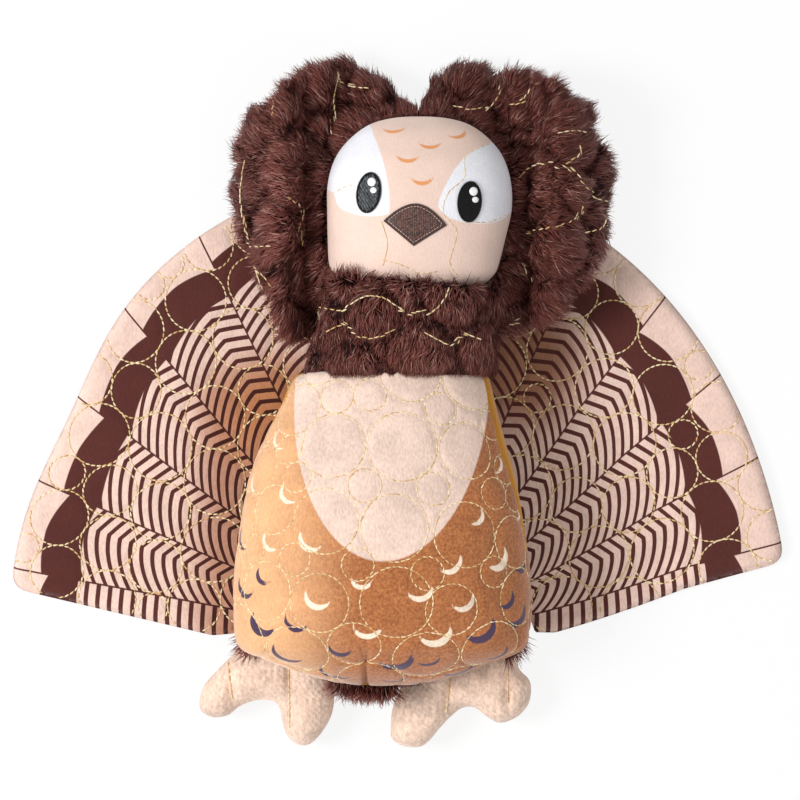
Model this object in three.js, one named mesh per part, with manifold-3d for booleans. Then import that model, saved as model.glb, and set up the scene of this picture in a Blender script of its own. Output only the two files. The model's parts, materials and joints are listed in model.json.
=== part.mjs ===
// A stuffed bird toy for a dog, lying on its back with its front up and its head towards +Y.
// A quilted fan tail lies flat under it. Millimetres, +Z up, origin under the middle of the toy.
import * as THREE from 'three';
import { mergeVertices } from 'three/addons/utils/BufferGeometryUtils.js';
import Module from 'manifold-3d';

const wasm = await Module();
wasm.setup();

// Cloth and gaps
const clearance = 0.3;
const clothThickness = 2.4;
const filmThickness = 0.4;
const stitchRise = 1.1;
const hingeGap = 0.6;

// Fan tail
const fanThickness = 7.4;
const fanBackThickness = 1.8;
const fanApexY = -95;
const fanEdgeRadius = 156.5;
const fanCrestRise = 30;
const fanCrestPower = 2.2;
const fanHalfAngle = 82.4;
const fanCornerRadius = 8;
const fanCornerAngle = 6;
const fanRimRound = 3.5;
const fanSkirtY = -85;
const fanHemY = -92.4;
const fanFoldLength = 160;
const filmMargin = 9;
const foldLeftFootX = -68;
const foldLeftHeadX = -70;
const foldRightFootX = 59;
const foldRightHeadX = 90;

// Body
const bodyLength = 137;
const bodyWidth = 113;
const bodyDepth = 66.3;
const bodyLean = -5.8;
const bodyRoundingLength = 28;
const seamAngleLeft = 165;
const seamAngleRight = 15;
const gussetSpan = 45;

// Neck: a stuffed ball on the head turns in a hollow at the top of the body
const neckX = 3;
const neckY = 30;
const neckHeight = 29.3;
const neckBallRadius = 18;
const neckBallGap = 0.8;
const neckHalfWidth = 28;
const neckHalfDepth = 22.3;
const neckEndDrop = 6;

// Fur neck band
const collarTop = 51;
const collarLength = 41;
const collarThickness = 5.6;
const collarEase = 1.1;
const collarTuck = 0.4;

// Head
const headLength = 77;
const headWidth = 72;
const headDepth = 53.8;
const headCentreX = 7.6;
const headNeckHalfWidth = 31.5;
const headNeckHalfDepth = 21.5;
const headNeckRise = 20;
const headFootRise = 6;
const headLeanLength = 45;
const headStubInset = 1;
const headRoundingLength = 18;
const faceSeamAngle = -15;

// Embroidery on the face: places and sizes
const pupilWidth = 9;
const pupilHeight = 15.5;
const pupilLeft = [-11.9, 80.5];
const pupilRight = [26.6, 77];
const pupilTiltLeft = -8;
const pupilTiltRight = -5;
const glintLargeRadius = 1.6;
const glintSmallRadius = 1.2;
const glintLargeOffset = [1.3, 3.9];
const glintSmallOffset = [2.1, 0.8];
const beakPlace = [5.8, 68.8];
const beakWidth = 24.2;
const beakRise = 7.2;
const beakDrop = 8.9;
const beakTilt = -4;

// Fur ruff
const ruffRootHeight = 16.3;
const ruffRidgeRise = 13;
const ruffEdgeDrop = 9;
const ruffPadHalf = 6.5;
const ruffFoldDepth = 2.2;
const ruffFoldPitch = 27;
const ruffRootStart = 53;
const ruffFoot = 27;
const ruffTop = 134;
const ruffLeftReach = 29.5;
const ruffRightReach = 32;
const crownNotchX = 6;
const crownNotchDepth = 13.5;
const crownNotchWidth = 6.5;
const crownFoot = 96;

// Feet
const footThickness = 21.6;
const footHeelTuck = 15;
const footSwingUp = 20;
const footSwingMargin = 1;
const footSideRoom = 1;
const footSeamWidth = 4;
// Each limb runs from one point to another, in X and in Y from the hinge, with its radius.
const footToes = {
  left: {
    heel: [-59, -33],
    limbs: [
      [-53, -2, -71.5, -19, 8.2],
      [-39, -3, -37.2, -29, 10.3],
      [-56, -9, -40, -9, 9.6],
    ],
  },
  right: {
    heel: [4, 47],
    limbs: [
      [17, -3, 4.6, -30.5, 8.8],
      [38, -3, 43, -17, 9.9],
      [16, -8, 38, -8, 9.6],
    ],
  },
};

// Squeaker
const squeakerRadius = 21;
const squeakerHalfDepth = 9;
const squeakerWall = 1;
const squeakerMouthRadius = 3.6;
const squeakerX = -5;
const squeakerY = -58;
const reedLength = 9;
const reedBore = 1.6;
const reedFlange = 1;
const reedFlangeWidth = 1.6;

// Everything above the tail rests on it.
const restZ = fanThickness + clearance;
const neckZ = restZ + neckHeight;
const bodyNeckEndY = neckY - neckEndDrop;
const footHingeY = bodyNeckEndY - bodyLength + footHeelTuck;

const colours = {
  printedPlush: 0xd99b66,
  palePlush: 0xefd2bd,
  mustardPlush: 0xc98a2e,
  brownFur: 0x4b2623,
  tailPlush: 0xe3c3b3,
  whiteThread: 0xf2f2f6,
  blackThread: 0x23262a,
  brownThread: 0x52342d,
  filling: 0xf4f2ee,
  film: 0xd8dce0,
  vinyl: 0xe6e2d6,
};

const toy = new THREE.Group();

function addPiece(name, geometry, colour, roughness = 0.95) {
  const material = new THREE.MeshStandardMaterial({ color: colour, roughness, metalness: 0 });
  const mesh = new THREE.Mesh(geometry, material);
  mesh.name = name;
  toy.add(mesh);
}

function toSolid(geometry) {
  const plain = geometry.clone();
  plain.deleteAttribute('normal');
  plain.deleteAttribute('uv');
  const merged = mergeVertices(plain, 1e-4);
  const vertProperties = new Float32Array(merged.attributes.position.array);
  const triVerts = new Uint32Array(merged.index.array);
  return new wasm.Manifold(new wasm.Mesh({ numProp: 3, vertProperties, triVerts }));
}

function toGeometry(solid) {
  const mesh = solid.getMesh();
  const geometry = new THREE.BufferGeometry();
  geometry.setAttribute('position', new THREE.BufferAttribute(new Float32Array(mesh.vertProperties), 3));
  geometry.setIndex(new THREE.BufferAttribute(new Uint32Array(mesh.triVerts), 1));
  geometry.computeVertexNormals();
  return geometry;
}

function joinAll(geometries) {
  return geometries.map(toSolid).reduce((whole, next) => whole.add(next));
}

function box(low, high) {
  const size = high.map((value, i) => value - low[i]);
  const geometry = new THREE.BoxGeometry(...size);
  geometry.translate(...low.map((value, i) => value + size[i] / 2));
  return geometry;
}

const reach = 400;
const above = (z) => toSolid(box([-reach, -reach, z], [reach, reach, reach]));
const below = (z) => toSolid(box([-reach, -reach, -reach], [reach, reach, z]));

// A closed mesh from points and triangles, turned so that its faces point out
function closedMesh(points, faces) {
  const at = (i) => new THREE.Vector3(...points[i]);
  let volume = 0;
  for (let i = 0; i < faces.length; i += 3) {
    volume += at(faces[i]).dot(at(faces[i + 1]).cross(at(faces[i + 2])));
  }
  const geometry = new THREE.BufferGeometry();
  geometry.setAttribute('position', new THREE.Float32BufferAttribute(points.flat(), 3));
  geometry.setIndex(volume > 0 ? faces : [...faces].reverse());
  geometry.computeVertexNormals();
  return geometry;
}

// A grid of points, rows by columns, as two triangles a cell. Turned swaps its two sides.
function gridFaces(faces, index, rows, columns, turned = false) {
  for (let i = 0; i < rows - 1; i += 1) {
    for (let j = 0; j < columns - 1; j += 1) {
      const [a, b, c, d] = [index(i, j), index(i + 1, j), index(i + 1, j + 1), index(i, j + 1)];
      if (turned) faces.push(a, c, b, a, d, c);
      else faces.push(a, b, c, a, c, d);
    }
  }
}

// Two layers of points with the same rows and columns, closed by walls along their open edges
function doubleSheet(rows, columns, place, round = false) {
  const points = [];
  for (let k = 0; k < 2; k += 1) {
    for (let i = 0; i < rows; i += 1) {
      for (let j = 0; j < columns; j += 1) points.push(place(k, i, j));
    }
  }
  const index = (k, i, j) => (k * rows + i) * columns + (j % columns);
  const faces = [];
  const across = round ? columns + 1 : columns;
  gridFaces(faces, (i, j) => index(0, i, j), rows, across);
  gridFaces(faces, (i, j) => index(1, i, j), rows, across, true);
  gridFaces(faces, (j, k) => index(k, 0, j), across, 2);
  gridFaces(faces, (j, k) => index(k, rows - 1, j), across, 2, true);
  if (!round) {
    gridFaces(faces, (i, k) => index(k, i, 0), rows, 2, true);
    gridFaces(faces, (i, k) => index(k, i, columns - 1), rows, 2);
  }
  return closedMesh(points, faces);
}

// Stuffed forms: a list of sections along Y, each a rounded outline in X and Z
const sectionPower = 2.25;
const formSides = 24;

function sectionPoint(section, angle) {
  const soft = (value) => Math.sign(value) * Math.abs(value) ** (2 / sectionPower);
  return [
    section.x + section.halfWidth * soft(Math.cos(angle)),
    section.y,
    (section.front + section.back) / 2 + ((section.front - section.back) / 2) * soft(Math.sin(angle)),
  ];
}

// Each section moves in from the outer face by the inset, and the closing end moves in along Y.
function insetSections(sections, inset) {
  const last = sections[sections.length - 1];
  const closing = Math.sign(sections[0].y - last.y);
  return sections.map((section) => {
    const nearEnd = Math.max(0, 1 - Math.abs(section.y - last.y) / last.roundingLength);
    return {
      ...section,
      y: section.y + closing * inset * nearEnd,
      halfWidth: section.halfWidth - inset,
      back: section.back + inset,
      front: section.front - inset,
    };
  });
}

function stuffedForm(sections, inset) {
  const sides = formSides;
  const rings = insetSections(sections, inset);
  const angles = Array.from({ length: sides }, (_, j) => (2 * Math.PI * j) / sides);
  const points = rings.flatMap((ring) => angles.map((angle) => sectionPoint(ring, angle)));
  const index = (i, j) => i * sides + (j % sides);
  const faces = [];
  gridFaces(faces, index, rings.length, sides + 1);
  for (const [end, turned] of [[0, false], [rings.length - 1, true]]) {
    const { x, y, front, back } = rings[end];
    const centre = points.push([x, y, (front + back) / 2]) - 1;
    for (let j = 0; j < sides; j += 1) {
      const edge = [index(end, j), index(end, j + 1)];
      faces.push(centre, ...(turned ? edge.reverse() : edge));
    }
  }
  return closedMesh(points, faces);
}

// One panel of the cover: a band of angles of the form, one cloth thick, short of its seams
function coverPanel(sections, fromDegrees, toDegrees) {
  const steps = Math.round(((toDegrees - fromDegrees) * formSides) / 360);
  const layers = [insetSections(sections, 0), insetSections(sections, clothThickness)];
  return doubleSheet(sections.length, steps + 1, (k, i, j) => {
    const trim = THREE.MathUtils.radToDeg(clearance / Math.max(layers[0][i].halfWidth, 2));
    const degrees = THREE.MathUtils.lerp(fromDegrees + trim, toDegrees - trim, j / steps);
    return sectionPoint(layers[k][i], THREE.MathUtils.degToRad(degrees));
  });
}

// Body: stations from the neck end to the base, as shares of its length, width and depth.
// Each gives the share along, the half width, and how far back and front stand off the tail.
const bodyShares = [
  [0.117, 0.655, 0.02, 0.82],
  [0.197, 0.731, 0.007, 0.864],
  [0.285, 0.81, 0, 0.91],
  [0.394, 0.893, 0, 0.955],
  [0.511, 0.943, 0, 0.985],
  [0.628, 0.984, 0, 1],
  [0.737, 1, 0, 1],
  [0.825, 0.991, 0.027, 0.955],
  [0.876, 0.938, 0.072, 0.895],
  [0.92, 0.743, 0.14, 0.804],
  [0.964, 0.46, 0.27, 0.69],
  [1, 0.106, 0.41, 0.56],
];

const neckSection = (y, x) => ({
  y,
  x,
  halfWidth: neckHalfWidth,
  back: neckZ - neckHalfDepth,
  front: neckZ + neckHalfDepth,
  roundingLength: bodyRoundingLength,
});

const bodySections = [
  neckSection(bodyNeckEndY, neckX),
  neckSection(collarTop - collarLength - clearance, 0),
  ...bodyShares.map(([along, width, back, front]) => ({
    y: bodyNeckEndY - along * bodyLength,
    x: bodyLean * Math.min(1, 0.2 + 2.4 * along),
    halfWidth: (width * bodyWidth) / 2,
    back: restZ + back * bodyDepth,
    front: restZ + front * bodyDepth,
    roundingLength: bodyRoundingLength,
  })),
];

const fillingInset = clothThickness + clearance;

function ballAt(radius) {
  const ball = new THREE.SphereGeometry(radius, 18, 10);
  ball.rotateX(Math.PI / 2);
  ball.translate(neckX, neckY, neckZ);
  return ball;
}

// The room that a foot sweeps under the body, from lying flat to lifted
function footSweep(foot) {
  const radius = footThickness / 2 + clearance;
  const lift = THREE.MathUtils.degToRad(footSwingUp + footSwingMargin);
  const hingeZ = footThickness / 2;
  const far = bodyLength / 2;
  const low = -footThickness / 2;
  const topY = footHingeY + Math.sin(lift) * radius;
  const topZ = hingeZ + Math.cos(lift) * radius;
  const profile = new THREE.Shape();
  profile.moveTo(topY, topZ);
  profile.lineTo(topY - Math.cos(lift) * far, topZ + Math.sin(lift) * far);
  profile.lineTo(topY - Math.cos(lift) * far, low);
  profile.lineTo(footHingeY, low);
  profile.lineTo(footHingeY, hingeZ);
  const lowEdges = foot.limbs.map(([ax, , bx, , limbRadius]) => Math.min(ax, bx) - limbRadius);
  const highEdges = foot.limbs.map(([ax, , bx, , limbRadius]) => Math.max(ax, bx) + limbRadius);
  const from = Math.min(...lowEdges, foot.heel[0]) - footSideRoom;
  const to = Math.max(...highEdges, foot.heel[1]) + footSideRoom;
  const wedge = new THREE.ExtrudeGeometry(profile, { depth: to - from, bevelEnabled: false });
  // The profile is drawn with Y to its right and Z up, then stood across X.
  wedge.applyMatrix4(new THREE.Matrix4().makeBasis(
    new THREE.Vector3(0, 1, 0),
    new THREE.Vector3(0, 0, 1),
    new THREE.Vector3(1, 0, 0),
  ));
  wedge.translate(from, 0, 0);
  const roll = new THREE.CylinderGeometry(radius, radius, to - from, 20);
  roll.rotateZ(Math.PI / 2);
  roll.translate((from + to) / 2, footHingeY, hingeZ);
  return joinAll([wedge, roll]);
}

const feetSweep = footSweep(footToes.left).add(footSweep(footToes.right));
const neckHollow = toSolid(ballAt(neckBallRadius + neckBallGap));

function bodyPanel(fromDegrees, toDegrees) {
  return toGeometry(toSolid(coverPanel(bodySections, fromDegrees, toDegrees)).subtract(feetSweep));
}

const backFrom = seamAngleLeft + gussetSpan;
const backTo = seamAngleRight - gussetSpan + 360;
addPiece('body_front_panel', bodyPanel(seamAngleRight, seamAngleLeft), colours.printedPlush);
addPiece('body_gusset_left', bodyPanel(seamAngleLeft, backFrom), colours.mustardPlush);
addPiece('body_gusset_right', bodyPanel(backTo, seamAngleRight + 360), colours.mustardPlush);
addPiece('body_back_panel', bodyPanel(backFrom, backTo), colours.brownFur);

// Squeaker: a hollow vinyl bulb with its reed in the mouth, lying in a pocket of the filling
const squeakerZ = (bodySections[7].front + bodySections[7].back) / 2;

function squeakerBulb() {
  const turns = 6;
  const arc = (radius, halfDepth, mouth) => {
    const end = Math.acos(mouth / radius);
    return Array.from({ length: turns + 1 }, (_, i) => {
      const angle = THREE.MathUtils.lerp(-Math.PI / 2, end, i / turns);
      return new THREE.Vector2(Math.max(0, Math.cos(angle) * radius), Math.sin(angle) * halfDepth);
    });
  };
  const outer = arc(squeakerRadius, squeakerHalfDepth, squeakerMouthRadius);
  const inner = arc(squeakerRadius - squeakerWall, squeakerHalfDepth - squeakerWall, squeakerMouthRadius);
  return new THREE.LatheGeometry([...outer, ...inner.reverse()], 14);
}

function squeakerReed() {
  const barrel = squeakerMouthRadius - clearance;
  const profile = [
    [reedBore, -reedLength + reedFlange],
    [barrel, -reedLength + reedFlange],
    [barrel, 0],
    [barrel + reedFlangeWidth, 0],
    [barrel + reedFlangeWidth, reedFlange],
    [reedBore, reedFlange],
    [reedBore, -reedLength + reedFlange],
  ];
  const reed = new THREE.LatheGeometry(profile.map(([r, z]) => new THREE.Vector2(r, z)), 12);
  reed.translate(0, squeakerHalfDepth + clearance, 0);
  return reed;
}

function placeSqueaker(geometry) {
  geometry.rotateX(Math.PI / 2);
  geometry.translate(squeakerX, squeakerY, squeakerZ);
  return geometry;
}

addPiece('squeaker_bulb', placeSqueaker(squeakerBulb()), colours.vinyl, 0.5);
addPiece('squeaker_reed', placeSqueaker(squeakerReed()), colours.vinyl, 0.4);

function squeakerPocket() {
  const pocket = new THREE.SphereGeometry(1, 20, 10);
  pocket.rotateX(Math.PI / 2);
  const pocketRadius = squeakerRadius + 3 * clearance;
  pocket.scale(pocketRadius, pocketRadius, squeakerHalfDepth + 2 * clearance);
  pocket.translate(squeakerX, squeakerY, squeakerZ);
  const wellRadius = squeakerMouthRadius + reedFlangeWidth + clearance;
  const wellDepth = reedFlange + 3 * clearance;
  const well = new THREE.CylinderGeometry(wellRadius, wellRadius, 2 * wellDepth, 12);
  well.rotateX(Math.PI / 2);
  well.translate(squeakerX, squeakerY, squeakerZ + squeakerHalfDepth);
  return joinAll([pocket, well]);
}

const bodyFilling = toSolid(stuffedForm(bodySections, fillingInset))
  .subtract(neckHollow)
  .subtract(feetSweep)
  .subtract(squeakerPocket());
const fillingFront = bodyFilling.intersect(above(squeakerZ + clearance / 2));
const fillingBack = bodyFilling.intersect(below(squeakerZ - clearance / 2));
addPiece('body_filling_front', toGeometry(fillingFront), colours.filling);
addPiece('body_filling_back', toGeometry(fillingBack), colours.filling);

// The head lies a little to the right of the neck, and its middle line moves over along the neck.
const headCentreAt = (y) => {
  const share = THREE.MathUtils.clamp((y - neckY) / headLeanLength, 0, 1);
  return THREE.MathUtils.lerp(neckX, headCentreX, share);
};

// Neck band: fur that goes round the joint and moves with it
const collarWall = collarEase + collarThickness;
const collarHalfWidth = headNeckHalfWidth + collarWall;
const collarHalfDepth = Math.max(neckHalfDepth, headNeckHalfDepth) + collarWall - collarTuck;
const collarBulge = [[0, 0.95], [0.2, 1], [0.5, 1], [0.8, 1], [1, 0.96]];
const collarSections = collarBulge.map(([along, swell]) => ({
  y: collarTop - collarLength + along * collarLength,
  x: THREE.MathUtils.lerp(0, headCentreAt(collarTop), along),
  halfWidth: collarHalfWidth * swell,
  back: neckZ - collarHalfDepth * swell,
  front: neckZ + collarHalfDepth * swell,
  roundingLength: 0.001,
}));
addPiece('neck_band', doubleSheet(collarSections.length, formSides, (k, i, j) => {
  const outer = collarSections[i];
  const bore = {
    ...outer,
    halfWidth: collarHalfWidth - collarThickness,
    back: neckZ - collarHalfDepth + collarThickness,
    front: neckZ + collarHalfDepth - collarThickness,
  };
  return sectionPoint(k === 0 ? outer : bore, (2 * Math.PI * j) / formSides);
}, true), colours.brownFur);

// Head: the flare from the neck ball to the neck seam, as shares along, of the width and of the
// depth, and then stations to the crown, as the body has
const headFlare = [
  [0, 0, 0],
  [0.286, 0.172, 0.444],
  [0.643, 0.69, 0.778],
  [1, 1, 1],
];
const headShares = [
  [0.24, 0.925, 0.043, 0.963],
  [0.37, 0.967, 0.002, 0.981],
  [0.5, 1, 0, 1],
  [0.62, 1, 0, 0.991],
  [0.73, 0.944, 0.015, 0.944],
  [0.82, 0.847, 0.061, 0.87],
  [0.9, 0.708, 0.136, 0.786],
  [0.96, 0.5, 0.247, 0.665],
  [1, 0.2, 0.37, 0.55],
];
const headStart = neckY + headFootRise;
const headStub = neckBallRadius - headStubInset;
const headSections = headFlare.map(([along, width, depth]) => {
  const y = THREE.MathUtils.lerp(headStart, neckY + headNeckRise, along);
  const halfDepth = THREE.MathUtils.lerp(headStub, headNeckHalfDepth, depth);
  return {
    y,
    x: headCentreAt(y),
    halfWidth: THREE.MathUtils.lerp(headStub, headNeckHalfWidth, width),
    back: neckZ - halfDepth,
    front: neckZ + halfDepth,
    roundingLength: headRoundingLength,
  };
});
for (const [along, width, back, front] of headShares) {
  const y = headStart + along * headLength;
  headSections.push({
    y,
    x: headCentreAt(y),
    halfWidth: (width * headWidth) / 2,
    back: restZ + back * headDepth,
    front: restZ + front * headDepth,
    roundingLength: headRoundingLength,
  });
}

const headCoverSections = headSections.slice(1);
const faceCover = coverPanel(headCoverSections, faceSeamAngle, 180 - faceSeamAngle);
addPiece('face_panel', faceCover, colours.palePlush);
const headBack = coverPanel(headCoverSections, 180 - faceSeamAngle, 360 + faceSeamAngle);
addPiece('head_back_panel', headBack, colours.brownFur);
const headFilling = joinAll([stuffedForm(headSections, fillingInset), ballAt(neckBallRadius)]);
addPiece('head_filling', toGeometry(headFilling), colours.filling);

// Embroidery: each patch is cut from a thin skin over the face
const faceSkins = new Map();
function faceSkin(height) {
  if (!faceSkins.has(height)) faceSkins.set(height, toSolid(stuffedForm(headCoverSections, -height)));
  return faceSkins.get(height);
}

function embroidery(shape, place, tilt, foot, thickness) {
  const stamp = new THREE.ExtrudeGeometry(shape, { depth: reach, bevelEnabled: false, curveSegments: 7 });
  stamp.rotateZ(THREE.MathUtils.degToRad(tilt));
  stamp.translate(place[0], place[1], neckZ);
  const patch = toSolid(stamp).intersect(faceSkin(foot + thickness)).subtract(faceSkin(foot));
  return toGeometry(patch);
}

function ellipseShape(halfWidth, halfHeight) {
  const shape = new THREE.Shape();
  shape.absellipse(0, 0, halfWidth, halfHeight, 0, 2 * Math.PI);
  return shape;
}

function beakShape() {
  const half = beakWidth / 2;
  const shape = new THREE.Shape();
  shape.moveTo(-half, 0);
  shape.lineTo(0, -beakDrop);
  shape.lineTo(half, 0);
  shape.quadraticCurveTo(half * 0.45, beakRise, 0, beakRise);
  shape.quadraticCurveTo(-half * 0.45, beakRise, -half, 0);
  return shape;
}

const glintFoot = clearance + stitchRise + clearance;
const shifted = (place, offset) => [place[0] + offset[0], place[1] + offset[1]];
for (const [side, place, tilt] of [
  ['left', pupilLeft, pupilTiltLeft],
  ['right', pupilRight, pupilTiltRight],
]) {
  const outline = ellipseShape(pupilWidth / 2, pupilHeight / 2);
  const pupil = embroidery(outline, place, tilt, clearance, stitchRise);
  addPiece(`pupil_${side}`, pupil, colours.blackThread, 0.5);
  for (const [size, radius, offset] of [
    ['large', glintLargeRadius, glintLargeOffset],
    ['small', glintSmallRadius, glintSmallOffset],
  ]) {
    const spot = ellipseShape(radius, radius);
    const glint = embroidery(spot, shifted(place, offset), 0, glintFoot, stitchRise / 2);
    addPiece(`glint_${side}_${size}`, glint, colours.whiteThread, 0.5);
  }
}
const beak = embroidery(beakShape(), beakPlace, beakTilt, clearance, stitchRise);
addPiece('beak', beak, colours.brownThread, 0.6);

// Fan tail: one quilted pad in three parts, with a fold line each side of the body
const fanRadius = (angle) => fanEdgeRadius + fanCrestRise * Math.cos(angle) ** fanCrestPower;
const fanPoint = (degrees) => {
  const angle = THREE.MathUtils.degToRad(degrees);
  const radius = fanRadius(angle);
  return new THREE.Vector2(Math.sin(angle) * radius, fanApexY + Math.cos(angle) * radius);
};

const hemEnds = { left: [foldLeftFootX, foldLeftHeadX], right: [foldRightFootX, foldRightHeadX] };

// A fold line runs from the hem to the rim. Its outward side is the flap's side.
function foldLine(side) {
  const [footX, headX] = hemEnds[side];
  const foot = new THREE.Vector2(footX, fanHemY);
  const along = new THREE.Vector2(headX - footX, fanFoldLength).normalize();
  const outward = new THREE.Vector2(-along.y, along.x).multiplyScalar(side === 'left' ? 1 : -1);
  return { foot, along, outward };
}

// Where the rim crosses a line beside the fold, and that line's start at the hem
function foldEdge(side, offset) {
  const { foot, outward } = foldLine(side);
  let [inside, outside] = [0, side === 'left' ? -fanHalfAngle : fanHalfAngle];
  for (let i = 0; i < 40; i += 1) {
    const middle = (inside + outside) / 2;
    if (fanPoint(middle).sub(foot).dot(outward) > offset) outside = middle;
    else inside = middle;
  }
  return { start: foot.clone().addScaledVector(outward, offset), rimDegrees: inside };
}

function cornerArc(before, corner, after, radius) {
  const toBefore = before.clone().sub(corner).normalize();
  const toAfter = after.clone().sub(corner).normalize();
  const along = radius / Math.tan(Math.acos(toBefore.dot(toAfter)) / 2);
  const start = corner.clone().addScaledVector(toBefore, along);
  const end = corner.clone().addScaledVector(toAfter, along);
  return new THREE.QuadraticBezierCurve(start, corner, end).getPoints(3);
}

function rimPoints(fromDegrees, toDegrees, steps) {
  const at = (i) => THREE.MathUtils.lerp(fromDegrees, toDegrees, i / steps);
  return Array.from({ length: steps + 1 }, (_, i) => fanPoint(at(i)));
}

function flapOutline(side) {
  const edge = foldEdge(side, -fanThickness / 2);
  const sign = side === 'left' ? -1 : 1;
  const corner = fanPoint(sign * fanHalfAngle);
  const rim = rimPoints(sign * (fanHalfAngle - fanCornerAngle), edge.rimDegrees, 10);
  return [edge.start, ...cornerArc(edge.start, corner, rim[0], fanCornerRadius), ...rim];
}

function centreOutline() {
  const offset = -fanThickness / 2 - hingeGap;
  const [left, right] = [foldEdge('left', offset), foldEdge('right', offset)];
  const skirt = (start) => new THREE.Vector2(start.x, fanSkirtY);
  return [skirt(right.start), ...rimPoints(right.rimDegrees, left.rimDegrees, 12), skirt(left.start)];
}

function distanceToOutline(point, outline) {
  return Math.min(...outline.map((start, i) => {
    const edge = outline[(i + 1) % outline.length].clone().sub(start);
    const share = THREE.MathUtils.clamp(point.clone().sub(start).dot(edge) / edge.lengthSq(), 0, 1);
    return start.clone().addScaledVector(edge, share).distanceTo(point);
  }));
}

// Moves each side of an outline inwards, and leaves out the corners that this would cross over
const outlineSlack = 0.2;
const outlineStep = 1;

function insetOutline(points, distance) {
  const turn = Math.sign(THREE.ShapeUtils.area(points));
  const moved = points.map((point, i) => {
    const before = points[(i + points.length - 1) % points.length];
    const after = points[(i + 1) % points.length];
    const [u, v] = [point.clone().sub(before).normalize(), after.clone().sub(point).normalize()];
    const normal = new THREE.Vector2(-v.y, v.x);
    const bisector = new THREE.Vector2(-u.y, u.x).add(normal).normalize();
    return point.clone().addScaledVector(bisector, (turn * distance) / bisector.dot(normal));
  });
  const kept = moved.filter((point) => distanceToOutline(point, points) > distance - outlineSlack);
  return kept.filter((point, i) => i === 0 || point.distanceTo(kept[i - 1]) > outlineStep);
}

function plate(points, bottom, thickness) {
  const shape = new THREE.Shape(points);
  const geometry = new THREE.ExtrudeGeometry(shape, { depth: thickness, bevelEnabled: false });
  geometry.translate(0, 0, bottom);
  return toSolid(geometry);
}

const fanBevelShare = 0.4;

function quiltedPad(points) {
  const bevel = fanThickness * fanBevelShare;
  const geometry = new THREE.ExtrudeGeometry(new THREE.Shape(points), {
    depth: fanThickness - 2 * bevel,
    bevelThickness: bevel,
    bevelSize: fanRimRound,
    bevelOffset: -fanRimRound,
    bevelSegments: 2,
  });
  geometry.translate(0, 0, bevel);
  return toSolid(geometry);
}

const filmZ = fanBackThickness + clearance;
for (const [name, outline] of [
  ['tail_centre', centreOutline()],
  ['tail_left', flapOutline('left')],
  ['tail_right', flapOutline('right')],
]) {
  const pad = quiltedPad(outline);
  const pocketDepth = filmZ - fanBackThickness + filmThickness + clearance;
  const pocket = plate(insetOutline(outline, filmMargin - clearance), fanBackThickness, pocketDepth);
  const film = plate(insetOutline(outline, filmMargin), filmZ, filmThickness);
  addPiece(`${name}_front`, toGeometry(pad.intersect(above(filmZ)).subtract(pocket)), colours.tailPlush);
  addPiece(`${name}_film`, toGeometry(film), colours.film, 0.3);
  addPiece(`${name}_back`, toGeometry(pad.intersect(below(fanBackThickness))), colours.brownFur);
}

// Fur ruff: a lobe each side of the head, hinged along the head's side seam, and a crown strip.
// Each row gives a place along Y and how far the left and the right lobe reach there.
const ruffRows = [
  [0, 0.33, 0.28],
  [0.07, 0.44, 0.37],
  [0.14, 0.54, 0.54],
  [0.22, 0.68, 0.75],
  [0.25, 0.72, 0.79],
  [0.33, 0.86, 0.89],
  [0.42, 0.99, 0.94],
  [0.52, 1, 0.97],
  [0.62, 0.98, 1],
  [0.72, 0.9, 0.94],
  [0.82, 0.77, 0.85],
  [0.91, 0.56, 0.66],
  [0.97, 0.3, 0.36],
  [1, 0.16, 0.18],
];
const ruffRim = clothThickness + clearance / 2;
const ruffRootInner = Math.sqrt(ruffPadHalf ** 2 - ruffRim ** 2);
const ruffRootZ = restZ + ruffRootHeight;
const ruffHinge = {
  left: headCentreX - headWidth / 2 - clearance - ruffRootInner,
  right: headCentreX + headWidth / 2 + clearance + ruffRootInner,
};
const collarEdge = {
  left: Math.min(...collarSections.map((section) => section.x - section.halfWidth)),
  right: Math.max(...collarSections.map((section) => section.x + section.halfWidth)),
};
const ruffColumns = [0, 0.1, 0.3, 0.55, 0.8, 0.94, 1];

// Middle height and half thickness of a lobe at a distance out from its hinge
function lobeHeights(distance, reachHere, along) {
  const out = Math.max(0, distance / reachHere);
  const ends = Math.sqrt(Math.max(0, 1 - Math.abs(2 * along - 1) ** 7));
  const round = distance < 0
    ? Math.sqrt(Math.max(0, ruffPadHalf ** 2 - distance ** 2))
    : ruffRim + (ruffPadHalf - ruffRim) * Math.sqrt(Math.max(0, 1 - out ** 2));
  const folds = (along * (ruffTop - ruffFoot)) / ruffFoldPitch;
  const fold = ruffFoldDepth * out * Math.sin(2 * Math.PI * folds);
  const rise = ruffRidgeRise * Math.sin(Math.PI * Math.min(out, 1)) - ruffEdgeDrop * out ** 2;
  return {
    middle: ruffRootZ + rise + fold,
    half: ruffRim + Math.max(0, round - ruffRim) * ends,
  };
}

// The three layers of a pad, from its middle height and half thickness
const padLayers = {
  front: ({ middle, half }) => [middle + half - clothThickness, middle + half],
  batting: ({ middle, half }) => [middle - half + fillingInset, middle + half - fillingInset],
  back: ({ middle, half }) => [middle - half, middle - half + clothThickness],
};

// The batting takes the grid of the furs without its outermost lines.
const innerPart = (lines, layer) => (layer === 'batting' ? lines.slice(1, -1) : lines);

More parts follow.
